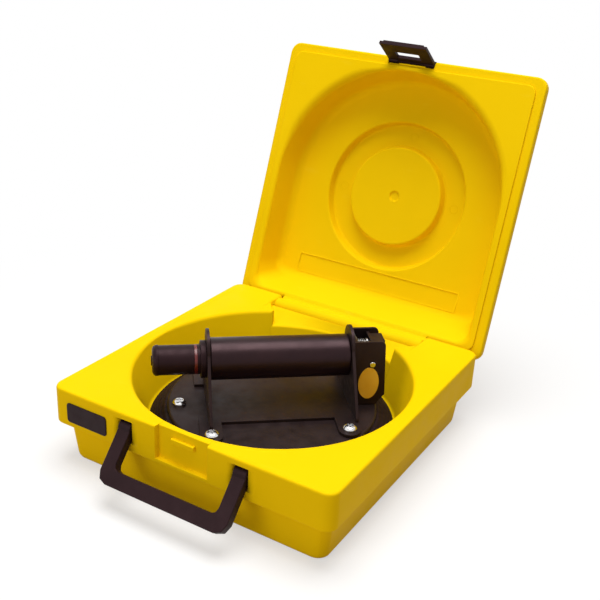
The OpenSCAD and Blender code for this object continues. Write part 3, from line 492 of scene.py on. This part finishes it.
panel_rings = [
    lid_circle(2, ARCH_FLOOR + DIMPLE_DEPTH), lid_circle(DIMPLE_R - 1.1, ARCH_FLOOR + DIMPLE_DEPTH),
    lid_circle(DIMPLE_R, ARCH_FLOOR), lid_circle(DISC_R, ARCH_FLOOR),
    lid_circle(GROOVE_IN, GROOVE), lid_circle(GROOVE_OUT, GROOVE), lid_circle(RING_R, ARCH_FLOOR),
    arch_ring(ARCH_FLOOR_R, ARCH_FLOOR_END, ARCH_FLOOR), arch_ring(ARCH_R, ARCH_END, PANEL),
    panel_ring(0, PANEL), panel_ring(0, STRIP), panel_ring(1.7, STRIP), panel_ring(1.7, STRIP + WALL),
    arch_ring(ARCH_R + 2.6, ARCH_END + 2.6, STRIP + WALL),
    arch_ring(ARCH_FLOOR_R + WALL, ARCH_FLOOR_END + WALL, ARCH_FLOOR + WALL),
    lid_circle(RING_R + WALL, ARCH_FLOOR + WALL), lid_circle(GROOVE_OUT + WALL, GROOVE + WALL),
    lid_circle(GROOVE_IN - WALL, GROOVE + WALL), lid_circle(DISC_R - WALL, ARCH_FLOOR + WALL),
    lid_circle(5, ARCH_FLOOR + WALL),
]
panel_rounds = [0.8, 0.9, 2.5, 2.5, 2.5, 2.5, 9, 9, 1.2] + [None] * 9
panel_shell = loft(soften(panel_rings, panel_rounds, 7))


def frame_ring(inset, z):
    x, low, high = FRAME_X - inset, FRAME_LOW + inset, FRAME_HIGH - inset
    return np.array([(-x, low, z), (x, low, z), (x, high, z), (-x, high, z)], float)


raised_frame = closed_tube([frame_ring(0, ARCH_FLOOR + 0.3), frame_ring(0.25, ARCH_FLOOR - 0.7),
                            frame_ring(1.35, ARCH_FLOOR - 0.7), frame_ring(1.6, ARCH_FLOOR + 0.3)])


def ejector_mark(x, y, radius=5.0, line=0.5, height=0.3):
    """The faint raised circle that an ejector pin leaves in the ring groove."""
    turns = np.radians(np.arange(0, 360, 12.0))

    def ring(r, z):
        return np.column_stack([x + r * np.cos(turns), y + r * np.sin(turns), np.full(len(turns), z)])
    low, high = GROOVE + 0.2, GROOVE - height
    inner = radius - line
    return closed_tube([ring(radius, low), ring(radius, high), ring(inner, high), ring(inner, low)])


MARK_R = 72
marks = [ejector_mark(x, POCKET[1] + y) for x, y in ((-MARK_R, 0), (MARK_R, 0), (4, -MARK_R))]
lid_panel = make_piece("lid_panel_moulding", opened(join_shells(panel_shell, raised_frame, *marks)),
                       "lid", "case_yellow", "lid_panel")

# %% [markdown]
# The outer shell of the lid has a square rim all round, and above it a crown that draws in twice. A recess in
# the middle of the front rim takes the latch's knuckle. The barrel at the hinge is part of the shell too: it is
# a profile drawn in the Y-Z plane and pulled along the hinge. A cove leads from the panel to it.

# %% Loft the lid's outer shell
RIM, FRONT, BACK, CROWN, CROWN_STEP = 95.4, -161.0, 150, 140.5, 128.5
recess_columns = [math.atan2(FRONT - POCKET[1], side * x) for x in (12, 24, *BAY_SIDE) for side in (-1, 1)]
shell_fan = fan([(HALF_W, BACK), (-HALF_W, BACK), (HALF_W, FRONT), (-HALF_W, FRONT)])
shell_fan = np.unique(np.round(np.concatenate([shell_fan, np.array(recess_columns) % (2 * math.pi)]), 5))
rim_outline = trace(rounded_rectangle(HALF_W, FRONT, BACK, 12), shell_fan, RIM)
latch_room = np.where(rim_outline[:, 1] < FRONT + 0.5,
                      np.interp(np.abs(rim_outline[:, 0]), BAY_SIDE, BAY_FADE), 0)


def lid_ring(half, low_y, high_y, z, corner=12, recess_y=None):
    ring = trace(rounded_rectangle(half, low_y, high_y, corner), shell_fan, z)
    if recess_y is not None:
        ring[:, 1] = ring[:, 1] + (recess_y - ring[:, 1]) * latch_room
    return ring


def rim_ring(z, recess_y):
    return lid_ring(HALF_W, FRONT, BACK, z, recess_y=recess_y)


shell_rings = [
    lid_ring(60, -70, 60, CROWN), lid_ring(128, -134.5, 124, CROWN), lid_ring(142, -148.5, 138, CROWN_STEP),
    lid_ring(154, -157, 146, RIM),
    rim_ring(RIM, -157.1), rim_ring(RIM - 1.5, -157), rim_ring(RIM - 1.9, -152.9), rim_ring(STRIP, -152.9),
    lid_ring(146.5, -149.5, 138.5, STRIP, 9), lid_ring(146.5, -149.5, 138.5, RIM, 9),
    lid_ring(150.9, -153.9, 142.9, RIM, 9), lid_ring(139, -145.5, 135, CROWN_STEP - WALL, 9),
    lid_ring(125, -131.5, 121, CROWN - WALL, 9), lid_ring(60, -70, 60, CROWN - WALL, 9),
]
shell_rounds = [10, 12, 1.2, 2.2, 0.3, 0.3, 2.6 - 1.8 * latch_room, 0.5] + [None] * 4


def pulled(profile, low_x, high_x):
    """A closed Y-Z profile pulled along X."""
    return loft([np.column_stack([np.full(len(profile), x), profile]) for x in (low_x, high_x)])


BARREL, BARREL_HALF, COVE = 9.0, 94.4, 5.5
cove_z = PANEL - COVE
cove_y = HINGE_Y - math.sqrt((BARREL + COVE) ** 2 - (cove_z - HINGE_Z) ** 2)
meeting = math.atan2(HINGE_Z - cove_z, HINGE_Y - cove_y)
cove_turns = np.linspace(math.pi / 2, meeting, 12)
barrel_turns = np.linspace(math.pi + meeting, 2.5 * math.pi, 40)
root_z = STRIP + 1.5
barrel_profile = np.array(
    [(cove_y, root_z)]
    + [(cove_y + COVE * math.cos(a), cove_z + COVE * math.sin(a)) for a in cove_turns]
    + [(HINGE_Y + BARREL * math.cos(a), HINGE_Z + BARREL * math.sin(a)) for a in barrel_turns[1:]]
    + [(HINGE_Y, root_z)])
barrel = pulled(barrel_profile, -BARREL_HALF, BARREL_HALF)
lid_shell = make_piece("lid_shell_moulding",
                       opened(join_shells(loft(soften(shell_rings, shell_rounds)), barrel)),
                       "lid", "case_yellow", "lid_shell")

# %% [markdown]
# ## The cup
# The cup is a thick rubber pad under a black plate. Both are turned forms, so their rings are plain circles.
# A profile lists each ring's radius and height. The pad's skirt swells to its widest just above the floor, and
# shallow mould lines run round it.

# %% Turn the pad and its plate
turned = np.radians(np.arange(0, 360, 2.5))


def turned_form(profile, rounds, steps=4):
    return loft(soften([circle(r, turned, z) for r, z in profile], rounds, steps))


pad_profile = [(20, 43), (111, 43), (113.5, 40.4), (116, 39.5), (117, 38.2), (121, 36.0), (122, 34.7),
               (125.4, 32.6), (127, 30.2), (127, 28.2), (125.6, 27.3), (113, 27.3), (104.5, 35.8), (20, 35.8)]
pad_rounds = [1.2, 1, 0.5, 0.5, 0.5, 0.5, 1.5, 1, 0.8, 1.5, 1.5, 2]
pad = make_piece("suction_pad_rubber", turned_form(pad_profile, pad_rounds),
                 "lifter", "black_rubber", "suction_pad")
plate_profile = [(20, 47.9), (94, 47.9), (106.4, 47.6), (108, 46.0), (108, 43.05), (20, 43.05)]
plate = make_piece("cup_plate_disc", turned_form(plate_profile, [2, 1, 1, 0.4]),
                   "lifter", "black_paint", "cup_plate")

# %% [markdown]
# ## The springs
# Two coil springs lie along the pump: a long one that throws the plunger out, and a small one round the valve
# Both get shorter when their joints move, from one fixed end.

# %% Wind the springs
LIFTER_TURN, AXIS = math.radians(40.5), 98.5


def lifter_place(points):
    """From the lifter's own lines, along the pump and across it, to the pocket."""
    x, y = points[:, 0], points[:, 1]
    c, s = math.cos(LIFTER_TURN), math.sin(LIFTER_TURN)
    return np.column_stack([POCKET[0] + x * c - y * s, POCKET[1] + x * s + y * c, points[:, 2]])


def spring(start, end, height, mean_d, wire, turns):
    per_turn, sides = 28, 10
    count = int(turns * per_turn)
    t = np.linspace(0, 1, count + 1)
    angle = 2 * math.pi * turns * t
    radius = mean_d / 2
    along = start + wire / 2 + (end - start - wire) * t
    centre = np.column_stack([along, radius * np.cos(angle), height + radius * np.sin(angle)])
    rise = (end - start - wire) / (2 * math.pi * turns)
    out = np.column_stack([np.zeros_like(t), np.cos(angle), np.sin(angle)])
    forward = np.column_stack([np.full_like(t, rise), -radius * np.sin(angle), radius * np.cos(angle)])
    forward /= np.linalg.norm(forward, axis=1, keepdims=True)
    side = np.cross(forward, out)
    round_wire = np.linspace(0, 2 * math.pi, sides, endpoint=False)
    rings = [c + wire / 2 * (np.cos(round_wire)[:, None] * o + np.sin(round_wire)[:, None] * s)
             for c, o, s in zip(centre, out, side)]
    points, faces = loft(rings)
    return lifter_place(points), faces


plunger_spring = make_piece("plunger_spring_coil", spring(-30.7, 61.7, AXIS, mean_d=24, wire=2, turns=12),
                            "lifter", "plain_steel", "plunger_spring")
valve_spring = make_piece("valve_spring_coil", spring(85.3, 93.7, AXIS + 13, mean_d=7.6, wire=1.1, turns=4),
                          "lifter", "plain_steel", "valve_spring")


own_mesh(plunger_spring)
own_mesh(valve_spring)

# %% [markdown]
# ## The grip
# The grip is a thick soft sleeve pushed over the pump. It is a turned form as well, but about the pump's line,
# so its rings stand upright. Such a sleeve has no sharp corner anywhere, and its ends are rounded most.

# %% Turn the grip
BORE_R, GRIP_R = 17.6, 21.5
KNOB_END, GUARD_END = -65.7, 75.7


def pump_ring(along, radius):
    turns = np.radians(np.arange(0, 360, 4.0))
    return np.column_stack([np.full(len(turns), along), radius * np.cos(turns), AXIS + radius * np.sin(turns)])


grip_rings = [pump_ring(5, BORE_R), pump_ring(KNOB_END, BORE_R), pump_ring(KNOB_END, GRIP_R),
              pump_ring(-40, GRIP_R), pump_ring(50, GRIP_R),
              pump_ring(GUARD_END, GRIP_R), pump_ring(GUARD_END, BORE_R), pump_ring(5, BORE_R)]
grip_points, grip_faces = closed_tube(soften(grip_rings, [0.6, 1.7, None, None, 1.7, 0.6], 6)[:-1])
grip = make_piece("grip_rubber_sleeve", (lifter_place(grip_points), grip_faces),
                  "lifter", "black_rubber", "grip_sleeve")

# %% [markdown]
# ## Rounded edges on the small hard parts
# The frame, guard, latch and carry handle are right as they are, but no real edge is perfectly sharp. A
# bevel modifier rounds them. The solids arrive as loose triangles, so a weld joins them and a planar decimate
# gives the bevel clean faces to work on.

# %% Bevel the small parts


def round_edges(node, width, segments=3, limit=35):
    part = frame["nodes"][node]
    part.modifiers.new("join triangles", "WELD").merge_threshold = 1e-6
    flat = part.modifiers.new("clean faces", "DECIMATE")
    flat.decimate_type = "DISSOLVE"
    flat.angle_limit = math.radians(1.0)
    bevel = part.modifiers.new("rounded edges", "BEVEL")
    bevel.width = width * MM
    bevel.segments = segments
    bevel.limit_method = "ANGLE"
    bevel.angle_limit = math.radians(limit)
    bevel.use_clamp_overlap = True
    part.data.shade_smooth()
    part.modifiers.new("even shading", "WEIGHTED_NORMAL").keep_sharp = True


edge_widths = {
    "latch": 0.7, "carry_handle": 2.6, "label_plate": 0.4, "handle_frame": 0.8, "gland_collar": 0.8,
    "plunger": 0.3, "plunger_knob": 0.6, "indicator_ring": 0.25, "valve_guard": 0.7,
    "release_lever": 0.5, "lever_pin": 0.4, "valve_stem": 0.3, "plate_screws": 0.25, "valve_block": 0.5,
    "vacuum_pipe": 0.2, "pump_barrel": 0.3, "piston": 0.3, "piston_seal": 0.3, "check_valve": 0.3,
    "hinge_pin": 0.4, "latch_pin": 0.3, "handle_pins": 0.4, "guard_decal": 0.05,
}
for node, width in edge_widths.items():
    round_edges(node, width)
print("rounded:", len(edge_widths), "parts")

# %% [markdown]
# ## Finishes
# Every finish is a node material. Its pattern is read from object coordinates, which are metres here, so a
# noise scale of 1000 gives a grain of about a millimetre. A constant goes straight on the shader's socket, and
# only what changes over the surface goes through nodes.

# %% Helper for a finish


def new_finish(name, roughness, metallic=0.0, specular=0.5, tint=(1, 1, 1)):
    finish = bpy.data.materials.new(name)
    finish.use_nodes = True
    nodes, links = finish.node_tree.nodes, finish.node_tree.links
    shader = nodes["Principled BSDF"]
    shader.inputs["Roughness"].default_value = roughness
    shader.inputs["Metallic"].default_value = metallic
    shader.inputs["Specular IOR Level"].default_value = specular
    shader.inputs["Specular Tint"].default_value = (*tint, 1)
    place = nodes.new("ShaderNodeTexCoord").outputs["Object"]

    def noise(scale, detail=3.0, stretch=None):
        pattern = nodes.new("ShaderNodeTexNoise")
        pattern.inputs["Scale"].default_value = scale
        pattern.inputs["Detail"].default_value = detail
        source = place
        if stretch:
            mapping = nodes.new("ShaderNodeMapping")
            mapping.inputs["Scale"].default_value = stretch
            links.new(place, mapping.inputs["Vector"])
            source = mapping.outputs["Vector"]
        links.new(source, pattern.inputs["Vector"])
        return pattern.outputs["Fac"]

    def span(value, low, high, out_low, out_high):
        remap = nodes.new("ShaderNodeMapRange")
        for socket, number in zip(("From Min", "From Max", "To Min", "To Max"), (low, high, out_low, out_high)):
            remap.inputs[socket].default_value = number
        links.new(value, remap.inputs["Value"])
        return remap.outputs["Result"]

    def blend(amount, first, second):
        mix = nodes.new("ShaderNodeMix")
        mix.data_type = "RGBA"
        links.new(amount, mix.inputs["Factor"])
        for socket, colour in ((mix.inputs[6], first), (mix.inputs[7], second)):
            if isinstance(colour, tuple):
                socket.default_value = (*colour, 1)
            else:
                links.new(colour, socket)
        return mix.outputs[2]

    def bump(value, strength, distance, below=None):
        relief = nodes.new("ShaderNodeBump")
        relief.inputs["Strength"].default_value = strength
        relief.inputs["Distance"].default_value = distance
        links.new(value, relief.inputs["Height"])
        if below:
            links.new(below, relief.inputs["Normal"])
        return relief.outputs["Normal"]

    return finish, shader, links, noise, span, blend, bump


print("finish helper ready")

# %% [markdown]
# The yellow is moulded polyethylene: a clear, nearly matt yellow, slightly uneven, with a fine moulded grain
# and faint scuffs. The scuffs are a noise stretched thin, kept only at its peaks. The little that it reflects
# is tinted yellow, because a white sheen would make its side walls look washed out.

# %% Yellow moulded plastic
yellow, shader, links, noise, span, blend, bump = new_finish(
    "yellow_moulded_plastic", 0.5, specular=0.025, tint=(1.0, 0.85, 0.2))
cloudy = span(noise(9, 3), 0.35, 0.65, 0, 1)
scuff = span(noise(30, 4, (1, 9, 1)), 0.66, 0.78, 0, 0.35)
plain = blend(cloudy, (0.90, 0.60, 0.002), (0.93, 0.625, 0.003))
links.new(blend(scuff, plain, (0.95, 0.67, 0.02)), shader.inputs["Base Color"])
links.new(span(noise(55, 4), 0.3, 0.7, 0.40, 0.54), shader.inputs["Roughness"])
links.new(bump(noise(1500, 2), 0.10, 0.0003, bump(noise(14, 2), 0.03, 0.004)), shader.inputs["Normal"])

# %% [markdown]
# The black parts are four different stuffs. The latch, handle and plunger are satin plastic, the pad is rubber,
# the grip is smooth vinyl, and the frame and plate are painted steel. The blacks are a little warm in the
# picture, and a tint on their reflections gives that without making them any paler.

# %% Black plastic, rubber, vinyl and paint
WARM = (1.0, 0.62, 0.66)
black_plastic, shader, links, noise, span, blend, bump = new_finish(
    "black_satin_plastic", 0.45, specular=0.17, tint=WARM)
links.new(blend(span(noise(40, 4), 0.35, 0.7, 0, 1), (0.010, 0.0045, 0.0055), (0.016, 0.0075, 0.009)),
          shader.inputs["Base Color"])
links.new(span(noise(120, 3), 0.3, 0.7, 0.38, 0.54), shader.inputs["Roughness"])
links.new(bump(noise(1800, 2), 0.12, 0.0002), shader.inputs["Normal"])

rubber, shader, links, noise, span, blend, bump = new_finish("black_rubber", 0.58, specular=0.17, tint=WARM)
dust = span(noise(26, 5), 0.5, 0.8, 0, 0.5)
links.new(blend(dust, (0.010, 0.0055, 0.006), (0.026, 0.017, 0.0165)), shader.inputs["Base Color"])
links.new(span(noise(160, 3), 0.3, 0.7, 0.52, 0.72), shader.inputs["Roughness"])
links.new(bump(noise(1100, 3), 0.18, 0.0003), shader.inputs["Normal"])

vinyl, shader, links, noise, span, blend, bump = new_finish("black_vinyl", 0.3, specular=0.25, tint=WARM)
links.new(blend(span(noise(30, 4), 0.4, 0.75, 0, 1), (0.009, 0.0045, 0.0055), (0.016, 0.0075, 0.0085)),
          shader.inputs["Base Color"])
links.new(span(noise(70, 4), 0.3, 0.7, 0.28, 0.42), shader.inputs["Roughness"])
links.new(bump(noise(500, 2), 0.05, 0.0002), shader.inputs["Normal"])

paint, shader, links, noise, span, blend, bump = new_finish(
    "black_semi_gloss_paint", 0.4, specular=0.21, tint=WARM)
links.new(blend(span(noise(22, 5), 0.4, 0.75, 0, 1), (0.012, 0.0075, 0.0075), (0.024, 0.0165, 0.016)),
          shader.inputs["Base Color"])
links.new(span(noise(90, 4), 0.3, 0.7, 0.32, 0.52), shader.inputs["Roughness"])
links.new(bump(noise(620, 2), 0.10, 0.0003), shader.inputs["Normal"])
print("black finishes ready")

# %% [markdown]
# The screws and pins are bright plated steel, the hidden steel is plainer, and the springs are a darker steel.
# A metal shows mostly what it mirrors, so its base colour only tints that, and its roughness decides how sharp
# it is. The red ring and the orange decal are the only other colours.

# %% Metals, the red ring and the decal
bright, shader, links, noise, span, blend, bump = new_finish("bright_plated_steel", 0.16, 1.0)
links.new(blend(span(noise(150, 3), 0.35, 0.7, 0, 1), (0.78, 0.78, 0.79), (0.62, 0.62, 0.63)),
          shader.inputs["Base Color"])
links.new(span(noise(400, 3), 0.3, 0.7, 0.10, 0.26), shader.inputs["Roughness"])

steel, shader, links, noise, span, blend, bump = new_finish("plain_steel", 0.34, 1.0)
links.new(blend(span(noise(220, 4, (1, 1, 6)), 0.3, 0.7, 0, 1), (0.46, 0.46, 0.47), (0.58, 0.58, 0.59)),
          shader.inputs["Base Color"])
links.new(span(noise(300, 3), 0.3, 0.7, 0.26, 0.44), shader.inputs["Roughness"])

# The springs and the valve's stem get a darker steel than the rest.
spring_steel, shader, links, noise, span, blend, bump = new_finish("dark_spring_steel", 0.4, 1.0)
links.new(blend(span(noise(240, 3), 0.3, 0.7, 0, 1), (0.20, 0.195, 0.19), (0.30, 0.29, 0.28)),
          shader.inputs["Base Color"])
links.new(span(noise(320, 3), 0.3, 0.7, 0.34, 0.5), shader.inputs["Roughness"])

alloy, shader, links, noise, span, blend, bump = new_finish("machined_alloy", 0.36, 1.0)
links.new(blend(span(noise(260, 3), 0.3, 0.7, 0, 1), (0.17, 0.17, 0.17), (0.25, 0.25, 0.245)),
          shader.inputs["Base Color"])
links.new(span(noise(350, 2), 0.3, 0.7, 0.28, 0.46), shader.inputs["Roughness"])

red, shader, links, noise, span, blend, bump = new_finish("red_indicator", 0.35)
links.new(blend(span(noise(180, 3), 0.35, 0.7, 0, 1), (0.10, 0.006, 0.005), (0.16, 0.010, 0.008)),
          shader.inputs["Base Color"])

decal, shader, links, noise, span, blend, bump = new_finish("orange_decal_film", 0.4)
links.new(blend(span(noise(70, 4), 0.35, 0.7, 0, 1), (0.94, 0.50, 0.03), (0.96, 0.56, 0.05)),
          shader.inputs["Base Color"])
links.new(bump(noise(900, 2), 0.05, 0.0002), shader.inputs["Normal"])
print("metal and colour finishes ready")

# %% [markdown]
# ## Giving each part its finish
# The construction model already says which slot each part belongs to, so one table from slot to finish is
# enough for the solids and for the new mouldings alike. A few parts differ from their slot: the springs and the
# valve's stem are darker than the other steel, and the grip's sleeve is smooth vinyl.

# %% Put the finishes on
finish_of_slot = {
    "case_yellow": yellow, "black_plastic": black_plastic, "black_rubber": rubber, "black_paint": paint,
    "bright_steel": bright, "plain_steel": steel, "cast_alloy": alloy, "indicator_red": red,
    "decal_orange": decal,
}
slot_of_node = {part["node"]: part["material_slot"] for part in frame["record"]["subparts"]}
for node, part in frame["nodes"].items():
    part.data.materials.clear()
    part.data.materials.append(finish_of_slot[slot_of_node[node]])
pieces = [tray, tub, lid_panel, lid_shell, pad, plate, plunger_spring, valve_spring, grip]
for piece in pieces:
    piece.data.materials.append(finish_of_slot[piece["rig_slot"]])
for part, finish in ((plunger_spring, spring_steel), (valve_spring, spring_steel), (grip, vinyl),
                     (frame["nodes"]["valve_stem"], spring_steel)):
    part.data.materials[0] = finish
print("finished:", len(frame["nodes"]), "solids and", len(pieces), "mouldings")

# %% [markdown]
# ## Floor, light and world
# The picture is a catalogue cut-out on white. The floor and the world look plain white to the camera and to
# reflections, but they light the object only gently and a little warmly, so that colours come out about as they
# are written and the low walls stay deep. The floor keeps the object's shadow near it and fades to white.

# %% Floor and world
bpy.context.scene.view_settings.view_transform = "Standard"
FLOOR_HALF, FLOOR_LEVEL = 4, -0.0004
floor_mesh = bpy.data.meshes.new("floor")
floor_corners = [(x * FLOOR_HALF, y * FLOOR_HALF, FLOOR_LEVEL) for x, y in ((-1, -1), (1, -1), (1, 1), (-1, 1))]
floor_mesh.from_pydata(floor_corners, [], [(0, 1, 2, 3)])
floor = bpy.data.objects.new("floor", floor_mesh)
bpy.context.scene.collection.objects.link(floor)


def seen_directly(tree):
    """1 for rays from the camera, mirrors and glass, and 0 for rays that carry light."""
    path = tree.nodes.new("ShaderNodeLightPath")
    rays = [path.outputs[name] for name in ("Is Camera Ray", "Is Glossy Ray", "Is Transmission Ray")]
    found = rays[0]
    for ray in rays[1:]:
        either = tree.nodes.new("ShaderNodeMath")
        either.operation = "MAXIMUM"
        tree.links.new(found, either.inputs[0])
        tree.links.new(ray, either.inputs[1])
        found = either.outputs[0]
    return found


floor_finish = bpy.data.materials.new("pale_floor")
floor_finish.use_nodes = True
nodes, links = floor_finish.node_tree.nodes, floor_finish.node_tree.links
paper = nodes["Principled BSDF"]
paper.inputs["Roughness"].default_value = 0.9
seen = seen_directly(floor_finish.node_tree)
shade = nodes.new("ShaderNodeMix")
shade.data_type = "RGBA"
shade.inputs[6].default_value = (0.44, 0.36, 0.24, 1)
shade.inputs[7].default_value = (0.9, 0.9, 0.9, 1)
links.new(seen, shade.inputs["Factor"])
links.new(shade.outputs[2], paper.inputs["Base Color"])
white = nodes.new("ShaderNodeEmission")
white.inputs["Strength"].default_value = 1.0
distance = nodes.new("ShaderNodeVectorMath")
distance.operation = "LENGTH"
links.new(nodes.new("ShaderNodeTexCoord").outputs["Object"], distance.inputs[0])
fade = nodes.new("ShaderNodeMapRange")
fade.interpolation_type = "SMOOTHSTEP"
for socket, number in zip(("From Min", "From Max", "To Min", "To Max"), (0.2, 0.62, 0.55, 1.0)):
    fade.inputs[socket].default_value = number
links.new(distance.outputs["Value"], fade.inputs["Value"])
amount = nodes.new("ShaderNodeMath")
amount.operation = "MULTIPLY"
links.new(fade.outputs["Result"], amount.inputs[0])
links.new(seen, amount.inputs[1])
paper_mix = nodes.new("ShaderNodeMixShader")
links.new(amount.outputs[0], paper_mix.inputs["Fac"])
links.new(paper.outputs[0], paper_mix.inputs[1])
links.new(white.outputs[0], paper_mix.inputs[2])
links.new(paper_mix.outputs[0], nodes["Material Output"].inputs["Surface"])
floor_mesh.materials.append(floor_finish)

world = bpy.data.worlds.new("studio")
bpy.context.scene.world = world
world.use_nodes = True
nodes, links = world.node_tree.nodes, world.node_tree.links
soft = nodes["Background"]
soft.inputs["Color"].default_value = (1.0, 0.92, 0.82, 1)
soft.inputs["Strength"].default_value = 0.3
backdrop = nodes.new("ShaderNodeBackground")
backdrop.inputs["Color"].default_value = (1, 1, 1, 1)
backdrop.inputs["Strength"].default_value = 1.0
choose = nodes.new("ShaderNodeMixShader")
links.new(seen_directly(world.node_tree), choose.inputs["Fac"])
links.new(soft.outputs[0], choose.inputs[1])
links.new(backdrop.outputs[0], choose.inputs[2])
links.new(choose.outputs[0], nodes["World Output"].inputs["Surface"])
print("floor and world ready")

# %% [markdown]
# The light is broad and soft and comes mostly from above, with a weaker lamp at the left front and a faint one
# at the right. A disk lamp's size sets how soft its shadows are, and its power how bright it is.

# %% Lamps


def soft_lamp(name, place, aim, size, power):
    data = bpy.data.lights.new(name, "AREA")
    data.shape = "DISK"
    data.size = size
    data.energy = power
    lamp = bpy.data.objects.new(name, data)
    bpy.context.scene.collection.objects.link(lamp)
    lamp.location = place
    lamp.rotation_euler = (Vector(aim) - Vector(place)).to_track_quat("-Z", "Y").to_euler()
    return lamp


middle = (0, 0.05, 0.12)
soft_lamp("top_softbox", (0.05, 0.1, 2.3), middle, 1.7, 54)
soft_lamp("front_left_softbox", (-0.6, -1.9, 0.9), middle, 1.1, 9.0)
soft_lamp("right_fill", (1.9, -0.9, 0.9), middle, 1.2, 0.7)

# %% [markdown]
# ## Closing the lesson
# The last cell brings the scene up to date.

# %% Finish
bpy.context.view_layer.update()
